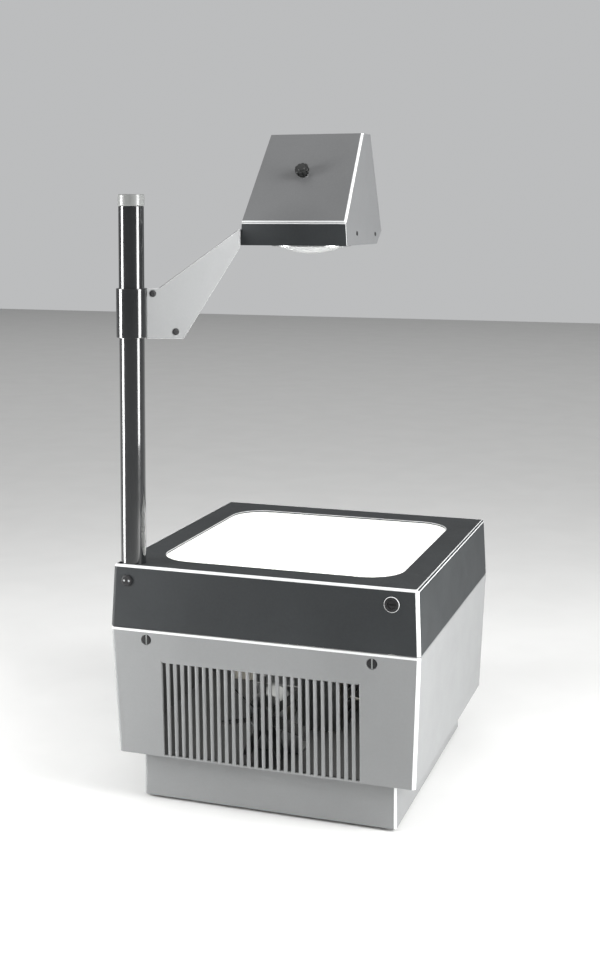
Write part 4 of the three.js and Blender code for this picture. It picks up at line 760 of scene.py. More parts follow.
def raised(tree, shader, height, strength, distance):
    """Gives a shader a relief from a height."""
    bump = tree.nodes.new("ShaderNodeBump")
    bump.inputs["Strength"].default_value = strength
    bump.inputs["Distance"].default_value = mm(distance)
    tree.links.new(height, bump.inputs["Height"])
    tree.links.new(bump.outputs["Normal"], shader["Normal"])


def shade(colour, share):
    """A colour made darker or paler by a share."""
    return tuple(min(1.0, channel * share) for channel in colour[:3]) + (1.0,)


def either_side(colour, drift):
    """A paler and a deeper tone of a colour, for the groups that drift between them."""
    return {"Pale": shade(colour, 1 + drift), "Deep": shade(colour, 1 - drift)}


def paint(name, colour, drift, rough, grain, depth, dust, wrinkle=0.4, coat=0.0, sheen=0.5):
    """A paint: drifting tone, a grained skin and dust on what faces up."""
    tree, shader, place = new_finish(name)
    tone = use(tree, "Paint drift", Place=place, **either_side(colour, drift))
    skin = use(tree, "Paint skin", Place=place, Grain=grain, Wrinkle=wrinkle)
    settled = use(tree, "Settled dust", Place=place, Under=tone["Colour"], Dust=DUST, Amount=dust)
    wire(tree, settled["Colour"], shader["Base Color"])
    wire(tree, ramp(tree, skin["Wear"], 0.0, 1.0, rough - 0.04, rough + 0.05), shader["Roughness"])
    raised(tree, shader, skin["Height"], strength=0.35, distance=depth)
    shader["Specular IOR Level"].default_value = sheen
    shader["Coat Weight"].default_value = coat
    shader["Coat Roughness"].default_value = 0.04


def metal(name, colour, drift, rough, scale, depth, stretch=(1.0, 1.0, 1.0), metallic=1.0):
    """A bare metal with drawn or cast marks."""
    tree, shader, place = new_finish(name)
    marks = use(tree, "Drawn marks", Place=stretched(tree, place, stretch), Scale=scale,
                **either_side(colour, drift))
    wire(tree, marks["Colour"], shader["Base Color"])
    wire(tree, ramp(tree, marks["Mask"], 0.3, 0.7, rough - 0.08, rough + 0.1), shader["Roughness"])
    shader["Metallic"].default_value = metallic
    raised(tree, shader, marks["Height"], strength=0.3, distance=depth)


def moulded(name, colour, rough, grain, depth, dust=0.05):
    """Plastic, rubber or ceramic from a mould."""
    paint(name, colour, drift=0.12, rough=rough, grain=grain, depth=depth, dust=dust, wrinkle=0.15)


def clear(name, rough, through=1.0):
    """Clear glass with faint smudges in its polish."""
    colour = (0.97, 0.985, 0.98)
    tree, shader, place = new_finish(name)
    tone = use(tree, "Paint drift", Place=place, Pale=shade(colour, share=1.0),
               Deep=shade(colour, share=0.97), Scale=5.0)
    wire(tree, tone["Colour"], shader["Base Color"])
    smudge = noise(tree, place, 34.0, detail=4.0, rough=0.6, warp=0.8)
    wire(tree, ramp(tree, smudge, 0.45, 0.75, rough, rough + 0.05), shader["Roughness"])
    shader["IOR"].default_value = 1.5
    shader["Transmission Weight"].default_value = through


def vector_step(tree, kind):
    made = tree.nodes.new("ShaderNodeVectorMath")
    made.operation = kind
    return made


def lit_lens(name, strength):
    """The ringed lens under the glass; it glows as painted light in place of the lamp's light coming up
    through it, brightest in its middle.
    """
    half_diagonal, rings_per_metre = 0.21, 160.0
    tree, shader, place = new_finish(name)
    rings = tree.nodes.new("ShaderNodeTexWave")
    rings.wave_type = "RINGS"
    rings.rings_direction = "Z"
    wire(tree, place, rings.inputs["Vector"])
    rings.inputs["Scale"].default_value = rings_per_metre
    flat, reach = vector_step(tree, "MULTIPLY"), vector_step(tree, "LENGTH")
    flat.inputs[1].default_value = (1.0, 1.0, 0.0)
    wire(tree, place, flat.inputs[0])
    tree.links.new(flat.outputs[0], reach.inputs[0])
    glow = ramp(tree, reach.outputs["Value"], 0.0, half_diagonal, 1.0, 0.82)
    ringed = times(tree, glow, ramp(tree, rings.outputs["Fac"], 0.0, 1.0, 0.96, 1.0))
    lit = blend_of(tree, ringed, (0.0, 0.0, 0.0, 1.0), (1.0, 0.99, 0.96, 1.0))
    wire(tree, lit, shader["Emission Color"])
    shader["Emission Strength"].default_value = strength
    wire(tree, blend_of(tree, ringed, (0.5, 0.5, 0.5, 1.0), (0.9, 0.9, 0.9, 1.0)), shader["Base Color"])
    shader["Roughness"].default_value = 0.35
    raised(tree, shader, rings.outputs["Fac"], strength=0.3, distance=0.2)


def banded(name, pale, deep, scale, direction, rough, metallic=0.0):
    """Thin even bands: steel laminations, or turns of tape."""
    tree, shader, place = new_finish(name)
    bands = tree.nodes.new("ShaderNodeTexWave")
    bands.bands_direction = direction
    wire(tree, place, bands.inputs["Vector"])
    bands.inputs["Scale"].default_value = scale
    bands.inputs["Distortion"].default_value = 0.6
    speckle = ramp(tree, noise(tree, place, 300.0), 0.35, 0.7)
    share = times(tree, bands.outputs["Fac"], ramp(tree, speckle, 0.0, 1.0, 0.7, 1.0))
    wire(tree, blend_of(tree, share, shade(deep, share=1.0), shade(pale, share=1.0)), shader["Base Color"])
    wire(tree, ramp(tree, speckle, 0.0, 1.0, rough, rough + 0.12), shader["Roughness"])
    shader["Metallic"].default_value = metallic
    raised(tree, shader, bands.outputs["Fac"], strength=0.4, distance=0.2)


def build_paints(tones):
    """Paints and enamels, some in the colours that a user sets."""
    paint("grey_paint", tones.casing_grey, drift=0.05, rough=0.46, grain=1300, depth=0.05, dust=0.10)
    # Pale paint for the grey parts' edges: a painted highlight
    paint("grey_highlight", tones.edge_highlight, drift=0.05, rough=0.30, grain=700, depth=0.03, dust=0.0)
    # Casing grey darkened to about a fifth: painted shade for the inside of the casing and the deck
    paint("inner_shade_paint", shade(tones.casing_grey, share=0.22), drift=0.06, rough=0.60, grain=1300,
          depth=0.05, dust=0.04, sheen=0.3)
    paint("head_paint", tones.head_grey, drift=0.06, rough=0.44, grain=1300, depth=0.05, dust=0.06)
    paint("black_paint", tones.cover_black, drift=0.16, rough=0.55, grain=1000, depth=0.09, dust=0.06,
          wrinkle=0.8, sheen=0.3)
    # Pale paint for the black parts' edges: a painted highlight
    paint("black_highlight", tones.edge_highlight, drift=0.08, rough=0.34, grain=700, depth=0.03, dust=0.0)
    paint("black_steel", tones.gloss_black, drift=0.15, rough=0.16, grain=500, depth=0.003, dust=0.05,
          coat=1.0)
    paint("cap_enamel", (0.23, 0.235, 0.23), drift=0.04, rough=0.30, grain=600, depth=0.02, dust=0.06,
          coat=0.3)
    paint("screw_black", (0.020, 0.020, 0.021), drift=0.2, rough=0.50, grain=900, depth=0.02, dust=0.02,
          sheen=0.25)


def build_metals():
    """Bare metals, drawn ones with their marks stretched along one axis."""
    # Steel darkened below its own tone: painted shade for the works inside the casing and head
    metal("sheet_steel", (0.24, 0.245, 0.245), drift=0.12, rough=0.46, scale=380, depth=0.03,
          stretch=(1.0, 0.12, 1.0))
    metal("bright_steel", (0.74, 0.75, 0.75), drift=0.08, rough=0.24, scale=900, depth=0.02,
          stretch=(0.1, 1.0, 1.0))
    metal("cast_alloy", (0.46, 0.47, 0.47), drift=0.14, rough=0.50, scale=800, depth=0.12, metallic=0.85)
    metal("plain_brass", (0.70, 0.55, 0.26), drift=0.14, rough=0.32, scale=700, depth=0.02,
          stretch=(1.0, 1.0, 0.15))
    metal("silvered", (0.93, 0.94, 0.95), drift=0.01, rough=0.09, scale=300, depth=0.002)


def build_finishes():
    """The shared effects first, then every finish."""
    for build in (group_of_drift, group_of_skin, group_of_dust, group_of_marks):
        build()
    build_paints(bpy.context.scene.projector_colours)
    build_metals()
    clear("clear_glass", rough=0.01)
    # Half milky glass whose pale body shows the objective lens white: painted light from the stage in it
    clear("milky_lit_glass", rough=0.04, through=0.60)
    # The field lens glows: painted light standing in for the lamp below it
    lit_lens("clear_plastic", bpy.context.scene.projector_sizes.stage_light)
    moulded("black_plastic", (0.015, 0.016, 0.016), rough=0.38, grain=900, depth=0.012)
    moulded("grey_plastic", (0.30, 0.31, 0.31), rough=0.40, grain=900, depth=0.03)
    moulded("pale_ceramic", (0.80, 0.77, 0.69), rough=0.42, grain=500, depth=0.04)
    moulded("foot_rubber", (0.018, 0.018, 0.018), rough=0.82, grain=1400, depth=0.10, dust=0.12)
    banded("coil_tape", (0.72, 0.55, 0.22), (0.42, 0.28, 0.09), scale=60, direction="Z", rough=0.42)
    banded("laminations", (0.34, 0.34, 0.35), (0.12, 0.12, 0.13), scale=320, direction="Y", rough=0.45,
           metallic=0.7)
    banded("pale_sleeve", (0.86, 0.84, 0.78), (0.60, 0.58, 0.52), scale=420, direction="X", rough=0.7)


def soft_room(light, wall):
    """An even room that lights softly and is seen as a paler wall behind the object."""
    world = bpy.data.worlds.new("soft_room")
    world.use_nodes = True
    tree = world.node_tree
    lit = tree.nodes["Background"]
    seen = tree.nodes.new("ShaderNodeBackground")
    for background, strength in ((lit, light), (seen, wall)):
        background.inputs["Color"].default_value = (0.93, 0.94, 0.95, 1)
        background.inputs["Strength"].default_value = strength
    both = tree.nodes.new("ShaderNodeMixShader")
    tree.links.new(tree.nodes.new("ShaderNodeLightPath").outputs["Is Camera Ray"], both.inputs[0])
    tree.links.new(lit.outputs[0], both.inputs[1])
    tree.links.new(seen.outputs[0], both.inputs[2])
    tree.links.new(both.outputs[0], tree.nodes["World Output"].inputs["Surface"])
    return world


# Each node's slot, and the finish that goes into it: one of the same name, apart from those listed
SLOT_OF = {row["node"]: row["material_slot"] for row in frame["record"]["subparts"]}
FINISH_OF = {
    **SLOT_OF,
    "casing_screw_left": "screw_black",
    "casing_screw_right": "screw_black",
    # The deck takes the darkened grey, a painted shade
    "chassis_deck": "inner_shade_paint",
    "head_housing": "head_paint",
    "lens_ring": "bright_steel",
    "lock_barrel": "screw_black",
    "lock_ring": "screw_black",
    # The objective lens's milky glass stands in for the stage light in it, a painted light
    "objective_lens": "milky_lit_glass",
    "post_cap": "cap_enamel",
    "post_clamp_screw": "screw_black",
    "screw_bush": "bright_steel",
    "transformer_core": "laminations",
}


def finished(piece, body, finish):
    """Smooths a piece, gives it its finish if it has none yet and hands it to its body."""
    make_active(piece)
    bpy.ops.object.shade_smooth_by_angle(angle=math.radians(SMOOTH_BELOW))
    add_step(piece, "WEIGHTED_NORMAL", keep_sharp=True, weight=60)
    if not any(piece.data.materials):
        give_finishes(piece, finish)
    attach(piece, body)


def hand_over(piece, node):
    """Finishes a piece, on the body and slot of the node that it stands for."""
    finished(piece, NODES[node]["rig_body"], FINISH_OF[node])
    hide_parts(node)


def soften(node, name, width, steps=2, angle=30):
    """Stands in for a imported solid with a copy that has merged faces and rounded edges."""
    piece = copy_of(NODES[node], name)
    piece.parent = None
    for key in list(piece.keys()):
        del piece[key]
    make_active(piece)
    piece.data.materials.clear()
    bpy.ops.object.mode_set(mode="EDIT")
    bpy.ops.mesh.select_all(action="SELECT")
    bpy.ops.mesh.remove_doubles(threshold=mm(WELD))
    bpy.ops.mesh.dissolve_limited(angle_limit=math.radians(1))
    leave()
    if width > 0:
        add_step(piece, "BEVEL", width=mm(width), segments=steps, limit_method="ANGLE",
                 angle_limit=math.radians(angle), use_clamp_overlap=True)
        pick(piece, "FACE", lambda face: True)
        bpy.ops.mesh.dissolve_degenerate(threshold=mm(WELD / 2))
        leave()
    hand_over(piece, node)


# Plinth and feet


def plinth_tray():
    """Tray with round corners and a row of intake vents in its floor."""
    wall, vent_half, vent_reach, floor_above = 2.5, 2.5, 45, 12
    tray = block("plinth_body", PLINTH_LOW, PLINTH_HIGH)
    round_edges(tray, upright, width=4, steps=5)
    sink(tray, lambda face: face.normal.z > 0.9, wall, PLINTH_LOW.z + wall - PLINTH_HIGH.z)
    vent = block("vent_cutter", (-vent_half, -vent_reach, PLINTH_LOW.z - OVERRUN),
                 (vent_half, vent_reach, floor_above))
    round_edges(vent, upright, width=2.3, steps=4)
    combine(tray, in_row(vent, count=9, pitch=12))
    give_finishes(tray, "grey_paint", "grey_highlight")
    # The front right corner takes the pale paint: a painted highlight
    highlight_faces(tray, right_corner)
    round_edges(tray, at_outline(PLINTH_LOW.z, PLINTH_HIGH, reach=5), width=1.2)
    round_edges(tray, at_outline(PLINTH_HIGH.z, PLINTH_HIGH, reach=2), width=0.5, steps=2)
    hand_over(tray, "plinth_tray")


def rubber_feet():
    """Four feet, each with a recess for its screw."""
    radius, height, recess, screw_radius, slant = 12, 2.8, 0.9, 3.2, 0.8
    profile = [(0, recess), (screw_radius, recess), (screw_radius + slant, 0), (radius - 1, 0),
               (radius, height), (0, height)]
    foot = turned("rubber_foot", profile, reach=0.6)
    for corner in ("front_left", "front_right", "rear_left", "rear_right"):
        twin = copy_of(foot, f"rubber_foot_{corner}")
        settle(twin, (*centre_of(f"foot_{corner}").xy, 0), UP)
        hand_over(twin, f"foot_{corner}")
    bpy.data.objects.remove(foot)


# Casing and what is set into it


def casing_shell():
    """Casing, with pale painted highlights along the front's upper edge and down its right corner."""
    strip = CASING_HIGH.z - 2.8
    shell = housing("casing_body", casing_front, CASING_LOW.z, CASING_HIGH.z, user_length("corner_radius"))
    give_finishes(shell, "grey_paint", "grey_highlight")
    round_edges(shell, at_height(CASING_HIGH.z), min(user_length("rim_round"), 1.4))
    # A pale strip along the front's upper edge and the front right corner: painted highlights
    score(shell, strip)
    highlight_faces(shell, lambda face: mid(face).z > strip and face.normal.y < -0.3 and face.normal.z < 0.9)
    highlight_faces(shell, right_corner)
    hollow = housing("casing_hollow", casing_front, CASING_LOW.z - OVERRUN, CASING_HIGH.z + OVERRUN,
                     HOLLOW_CORNER, SHELL_WALL)
    # The inside walls take the darkened grey, a painted shade
    give_finishes(hollow, "inner_shade_paint")
    combine(shell, hollow)
    cut_screw_ways(shell)
    cut_rear_openings(shell)
    cut_grille(shell)
    foot = (CASING_HIGH.x - CASING_DRAFT, CASING_HIGH.y - CASING_DRAFT)
    round_edges(shell, at_outline(CASING_LOW.z, foot, reach=2.2), width=0.8, steps=2)
    hand_over(shell, "casing_shell")


def screw_seat(side):
    """Where the head of a casing screw lies flush with the leaning front."""
    return Vector((centre_of(f"casing_screw_{side}").x, -casing_front(SCREW_Z), SCREW_Z))


def cut_screw_ways(shell):
    """A pocket for each screw's head and a way for its shank."""
    for side in ("left", "right"):
        seat, past = screw_seat(side), CASING_FRONT * OVERRUN
        pocket_floor = seat - CASING_FRONT * (SCREW_SUNK + FIT)
        bore(shell, "screw_pocket", SCREW_HEAD + 2 * FIT, pocket_floor, seat + past)
        bore(shell, "screw_way", SCREW_SHANK + FIT, seat - past, seat + past, sides=32)


def cut_rear_openings(shell):
    """Openings in the rear wall for the mains inlet, the switch and the fuse holder."""
    panel_z, fuse_radius = 85, 6
    for node, half_width, half_height in (("power_inlet", 14, 10.5), ("switch_body", 9, 15)):
        reach = Vector((half_width + FIT, half_height + FIT, OVERRUN))
        opening = block("rear_cutter", -reach, reach)
        round_edges(opening, upright, width=0.6, steps=2)
        settle(opening, (centre_of(node).x, casing_front(panel_z), panel_z), CASING_REAR)
        combine(shell, opening)
    seat = Vector((centre_of("fuse_holder").x, casing_front(panel_z), panel_z))
    past = CASING_REAR * OVERRUN
    bore(shell, "fuse_way", fuse_radius + FIT, seat - past, seat + past, sides=48)


def cut_grille(shell):
    """A row of slots through the front, with ribs between them that are rounded outside."""
    count, pitch, width, middle = 27, 8.65, 4.6, -2.5
    sill, top, inward = CASING_LOW.z + 2, 166, 30
    slot = block("grille_cutter", (-width / 2, -CASING_HIGH.y - OVERRUN, sill),
                 (width / 2, -CASING_HIGH.y + inward, top))
    combine(shell, in_row(slot, count, pitch, middle))

    def rib_edge(edge):
        place = mid(edge)
        on_front = abs(place.y + casing_front(place.z)) < 0.1
        in_grille = abs(place.x - middle) < pitch * count / 2 and place.z < top
        return on_front and in_grille and upright(edge)
    round_edges(shell, rib_edge, user_length("rib_round"), steps=5)


def casing_screws():
    """Two slotted screws with bright, much used slots of bare metal: worn, and also painted glints."""
    head = screw("casing_screw", SCREW_HEAD, -SCREW_SUNK, top=0, shank=SCREW_SHANK, shank_to=-9.3, bare=True)
    for side in ("left", "right"):
        twin = copy_of(head, f"casing_screw_head_{side}")
        settle(twin, screw_seat(side), CASING_FRONT)
        hand_over(twin, f"casing_screw_{side}")
    bpy.data.objects.remove(head)


# Cover, stage and hinge


def cover_frame():
    """Cover, with pale painted highlights along its rim and down its right corner."""
    roof = COVER_HIGH.z - 11.9
    body = housing("cover_body", cover_front, COVER_LOW.z, COVER_HIGH.z, user_length("corner_radius"))
    give_finishes(body, "black_paint", "black_highlight")
    # The top rim takes the pale paint as a painted highlight; away from the front its rounding gets the
    # black back
    round_edges(body, at_height(COVER_HIGH.z), user_length("rim_round"), steps=4, highlighted=True)
    behind_front = 3 - cover_front(COVER_HIGH.z)
    highlight_faces(body, lambda face: mid(face).y > behind_front and 0.3 < face.normal.z < 0.9, finish=0)
    highlight_faces(body, right_corner)
    combine(body, housing("cover_hollow", cover_front, COVER_LOW.z - OVERRUN, roof,
                          HOLLOW_CORNER, SHELL_WALL))
    cut_stage(body, roof - OVERRUN)
    cut_cover_front(body)
    relief_depth, relief_top = 5.5, centre_of("hinge_pin").z + 5
    past = CASING_HIGH.xy + Vector((OVERRUN, OVERRUN))
    combine(body, block("hinge_relief", (-past.x, CASING_HIGH.y - relief_depth, COVER_LOW.z - OVERRUN),
                        (past.x, past.y, relief_top)))
    pocket = (MASK_HIGH.x + FIT + 0.1, MASK_HIGH.y + FIT + 0.1)
    # The edge round the mask's pocket takes a thin painted highlight
    round_edges(body, at_height(COVER_HIGH.z, pocket), width=0.4, steps=2, highlighted=True)
    round_edges(body, at_outline(COVER_LOW.z, CASING_HIGH, reach=2), width=0.5, steps=2)
    hand_over(body, "cover_frame")


def cut_stage(body, below):
    """Pockets for the mask and the field lens, the window under them and the way for the post."""
    lens_low, lens_high = extent("field_lens")
    window, window_corner, lens_corner = 145, 30, 0.4
    for half_width, half_depth, low, corner in (
            (MASK_HIGH.x + FIT, MASK_HIGH.y + FIT, MASK_LOW.z - REST_GAP, MASK_CORNER + FIT),
            (lens_high.x + FIT, lens_high.y + FIT, lens_low.z - REST_GAP, lens_corner),
            (window, window, below, window_corner)):
        pocket = block("stage_cutter", (-half_width, -half_depth, low),
                       (half_width, half_depth, COVER_HIGH.z + OVERRUN))
        round_edges(pocket, upright, corner, steps=10)
        combine(body, pocket)
    bore(body, "post_way", POST_RADIUS + FIT, (*POST, below), (*POST, COVER_HIGH.z + OVERRUN), sides=96)


def cut_cover_front(body):
    """The lock's seat and sleeve way, and the clamp screw's way."""
    sleeve, sleeve_end, shank = 6, -160, 3
    bore(body, "lock_seat", LOCK_RING + FIT, LOCK + AHEAD * OVERRUN, LOCK)
    bore(body, "sleeve_way", sleeve + FIT, LOCK + AHEAD * OVERRUN,
         (LOCK.x, sleeve_end, LOCK_Z))
    past = COVER_FRONT * OVERRUN
    bore(body, "clamp_way", shank + FIT, CLAMP - past / 4, CLAMP + past, sides=32)


def stage_mask():
    """Black plate round the stage, with its opening, cut away beyond the post."""
    low, high, half = MASK_LOW.z - OVERRUN, MASK_HIGH.z + OVERRUN, STAGE_OPENING / 2
    mask = block("stage_mask", MASK_LOW, MASK_HIGH)
    round_edges(mask, upright, MASK_CORNER, steps=4)
    opening = block("opening_cutter", (-half, -half, low), (half, half, high))
    round_edges(opening, upright, user_length("stage_radius"), steps=18)
    combine(mask, opening)
    bore(mask, "post_way", POST_RADIUS + FIT, (*POST, low), (*POST, high), sides=96)
    combine(mask, block("corner_cutter", (MASK_LOW.x - OVERRUN, MASK_LOW.y - OVERRUN, low), (*POST, high)))
    give_finishes(mask, "black_paint", "black_highlight")
    # The opening's edge takes a thin painted highlight
    round_edges(mask, at_height(MASK_HIGH.z, (half + 0.5, half + 0.5)), width=0.5, steps=2, highlighted=True)
    hand_over(mask, "mask_plate")


def clamp_screw():
    """Round screw with two spanner holes, painted pale in the holes as painted glints."""
    radius, flat, edge, crown, shank, shank_to = 6.3, 5.2, 1.3, 1.9, 3, -2.7
    hole_place, hole_radius, hole_floor, past = 2.9, 1.2, 1, 5
    profile = [(0, crown), (flat, crown), (radius, edge), (radius, FIT), (shank, FIT),
               (shank, shank_to), (0, shank_to)]
    head = turned("clamp_screw_head", profile, reach=0.4, steps=2)
    give_finishes(head, "screw_black", "black_highlight")
    for x in (-hole_place, hole_place):
        bore(head, "spanner_hole", hole_radius, (x, 0, hole_floor), (x, 0, past), sides=24)

    def in_hole(face):
        place = mid(face)
        return hole_floor - 0.05 < place.z < crown - 0.1 and place.xy.length < hole_place + hole_radius + 0.1
    # The holes' walls take the pale paint: painted glints
    highlight_faces(head, in_hole)
    hand_over(settle(head, CLAMP, COVER_FRONT), "post_clamp_screw")


def piano_hinge():
    """Two leaves, their pin and ten rivets."""
    for node in ("hinge_leaf_fixed", "hinge_leaf_moving"):
        soften(node, f"{node}_shape", width=0.25, steps=2, angle=50)
    low, high = extent("hinge_pin")
    y, z = centre_of("hinge_pin").yz
    pin = rod("hinge_pin_rod", (high.z - low.z) / 2, (low.x, y, z), (high.x, y, z), sides=32)
    round_edges(pin, lambda edge: abs(abs(mid(edge).x) - high.x) < 0.1, width=0.4, steps=2)
    hand_over(pin, "hinge_pin")
    radius, crown = 2.5, 0.62
    profile = [(0, crown), (1, 0.56), (1.9, 0.34), (radius, 0), (radius, -1), (0, -1)]
    rivet = spun("rivet", profile, steps=32)
    spacing, casing_row, cover_row = 50, 186, 224
    rows = (("base", casing_row, casing_front(casing_row), CASING_REAR),
            ("cover", cover_row, cover_front(cover_row), COVER_REAR))
    for index in range(5):
        for body, row_z, depth, outward in rows:
            twin = copy_of(rivet, f"hinge_rivet_{body}_{index * spacing}")
            settle(twin, ((index - 2) * spacing, depth, row_z), outward)
            finished(twin, body, "bright_steel")
    bpy.data.objects.remove(rivet)


# Lock


def lock_ring():
    """Ring round the barrel, with a pale painted highlight at its outer edge."""
    bore_radius, sleeve, crown, inner_end = 5.1, 6, 1.8, -4
    profile = [(bore_radius, crown), (LOCK_RING, crown), (LOCK_RING, REST_GAP), (sleeve, REST_GAP),
               (sleeve, inner_end), (bore_radius, inner_end)]
    ring = turned("lock_bezel", profile, reach=0.5, sides=96, closed=True)
    give_finishes(ring, "screw_black", "black_highlight")
    # A pale painted highlight round the outer edge
    highlight_faces(ring, lambda face: mid(face).z > 1 and mid(face).xy.length > LOCK_RING - 0.45)
    hand_over(settle(ring, LOCK, AHEAD), "lock_ring")


def lock_barrel():
    """Barrel with its key slot."""
    radius, top, back = 4.8, 1, -9
    half_length, half_width = 3.5, 0.7
    barrel = turned("lock_plug", [(0, top), (radius, top), (radius, back), (0, back)], reach=0.35)
    combine(barrel, block("key_slot", (-half_length, -half_width, 0), (half_length, half_width, top + 2)))
    hand_over(settle(barrel, LOCK, AHEAD), "lock_barrel")


# Post


def post_tube():
    """Post with a slot for its rack, in the side that faces along the arm."""
    low, high, bore_radius = POST_LOW.z, POST_HIGH.z, POST_RADIUS - POST_WALL
    rack_low, rack_high = extent("post_rack")
    wall = [(bore_radius, low), (POST_RADIUS, low), (POST_RADIUS, high), (bore_radius, high)]
    tube = on_post(turned("post_pipe", wall, reach=0.4, sides=128, closed=True))
    combine(tube, block("rack_slot", (0, RACK_FROM - FIT, rack_low.z - FIT),
                        (POST_RADIUS + OVERRUN, RACK_TO + FIT, rack_high.z + FIT), ARM_ANGLE, POST))
    hand_over(tube, "post_tube")


def post_cap():
    """Domed cap with a plug inside the post."""
    low, high = extent("post_cap")
    radius, plug, seat = 14.9, POST_RADIUS - POST_WALL - FIT, POST_HIGH.z + REST_GAP
    crown = [(0, high.z), (radius, high.z), (radius, seat), (plug, seat), (plug, low.z), (0, low.z)]
    hand_over(on_post(turned("post_cap_turned", crown, reach=1.8, sides=128, steps=5)), "post_cap")


# Collar, arm and focus drive


def collar():
    """Collar with a window for the pinion and a way for its shaft."""
    low, high = extent("collar")
    bore_radius, half_height, past_rack = POST_RADIUS + FIT, 8.8, 0.6
    ring = [(bore_radius, low.z), (COLLAR_RADIUS, low.z), (COLLAR_RADIUS, high.z), (bore_radius, high.z)]
    piece = on_post(turned("collar_ring", ring, reach=0.8, sides=128, closed=True))
    window = block("pinion_window", (0, RACK_FROM - past_rack, PINION_Z - half_height),
                   (COLLAR_RADIUS + OVERRUN, RACK_TO + past_rack, PINION_Z + half_height),
                   ARM_ANGLE, POST)
    combine(piece, window)
    bore(piece, "shaft_way", SHAFT_WAY, arm_point(PINION_ALONG, 0, PINION_Z),
         arm_point(PINION_ALONG, COLLAR_RADIUS, PINION_Z), sides=48)
    hand_over(piece, "collar")


def arm_plate():
    """Bent plate: a web that widens to the collar, and a flange on the head's side."""
    low, high = extent("arm_plate")
    root, shoulder, knee, shoulder_z, fold = COLLAR_RADIUS + FIT, 33, 62, 584.2, 1.2
    web = [(root, low.z + 1.8), (knee, low.z), (ARM_LENGTH, HEAD_LOW.z - 3), (ARM_LENGTH, high.z),
           (shoulder, shoulder_z), (root, shoulder_z)]
    arm = plate("arm_bracket", [arm_point(along, -ARM_THICKNESS / 2, z) for along, z in web],
                ACROSS * ARM_THICKNESS)
    flange = block("arm_flange", (high.x - ARM_THICKNESS, HEAD_LOW.y - ARM_THICKNESS / 2, HEAD_LOW.z),
                   (high.x, high.y, high.z))
    combine(arm, flange, "UNION")
    give_finishes(arm, "grey_paint", "grey_highlight")
    round_edges(arm, lambda edge: upright(edge) and abs(mid(edge).y - high.y) < 0.2, fold)
    # All edges take the pale paint, as thin painted highlights
    round_edges(arm, lambda edge: True, user_length("plate_round"), steps=2, highlighted=True)
    hand_over(arm, "arm_plate")


def arm_screws():
    """Two screws through the web into the collar's housing, and two in the flange."""
    flange_x = extent("arm_plate")[1].x - ARM_THICKNESS
    pan = screw("arm_screw", radius=3.9, bottom=0, top=1.5, shank=1.8, shank_to=-1.2,
                slot_width=1.0, slot_depth=0.6)
    places = (("arm_screw_1", arm_point(24.6, -ARM_THICKNESS / 2, 578.4), -ACROSS, 25),
              ("arm_screw_2", arm_point(52.2, -ARM_THICKNESS / 2, 534.0), -ACROSS, 85),
              ("flange_screw_1", (flange_x, -60, 641), (-1, 0, 0), 70),
              ("flange_screw_2", (flange_x, -34, 641), (-1, 0, 0), 30))
    fasten(pan, places)


def fasten(model, places):
    """Copies of a small screw, each with its place, direction and turn; the model is removed."""
    for name, place, direction, roll in places:
        twin = settle(copy_of(model, name), place, direction, roll)
        finished(twin, "carriage", "screw_black")
    bpy.data.objects.remove(model)


def focus_knob():
    """Knob with twelve finger grips, on the shaft behind the collar."""
    radius, thick, dish, dish_radius, bevel, gap = 13.5, 14, 12.6, 9, 0.8, 18.4
    below, bore_depth = -5, 10
    face = [(0, dish), (dish_radius, dish), (dish_radius + bevel, thick), (radius, thick), (radius, 0),
            (0, 0)]
    knob = turned("focus_wheel", face, reach=0.9, sides=120)
    gripped(knob, radius, count=12, radius=1.8, low=below, high=20, sides=24)
    bore(knob, "shaft_bore", SHAFT_WAY, (0, 0, below), (0, 0, bore_depth), sides=32)
    hand_over(settle(knob, arm_point(PINION_ALONG, gap, PINION_Z), ACROSS), "focus_knob")


# Head, lens and mirror

HEAD_WALL = 2.5
BAND_THICKNESS = 2.7
BOARD_FLOOR = 3.0
LENS_RADIUS = 45.0
MOUNT_RADIUS = 47.3
BUSH_RADIUS = 5.0


def head_body():
    """The head as a closed wedge that narrows upwards, with its floor taken out and its wall given."""
    foot_rear, knee, ridge_rear = 59, 16, 52
    outline = [(HEAD_LOW.y, 0), (foot_rear, 0), (HEAD_HIGH.y, knee), (ridge_rear, HEAD_HEIGHT),
               (RIDGE_FRONT, HEAD_HEIGHT), (HEAD_LOW.y, BAND_HEIGHT)]
    head = plate("head_body", [(HEAD_LOW.x, y, HEAD_LOW.z + lift) for y, lift in outline],
                 (HEAD_HIGH.x - HEAD_LOW.x, 0, 0))
    for lift in (knee, BAND_HEIGHT, HEAD_HEIGHT):
        taper(head, HEAD_LOW.z + lift, head_side(lift) / HEAD_HIGH.x, 1)
    give_finishes(head, "head_paint", "grey_highlight")
    pick(head, "FACE", lambda face: face.normal.z < -0.95)
    bpy.ops.mesh.delete(type="FACE")
    leave()
    add_step(head, "SOLIDIFY", thickness=mm(HEAD_WALL), offset=-1, use_even_offset=True)
    return head


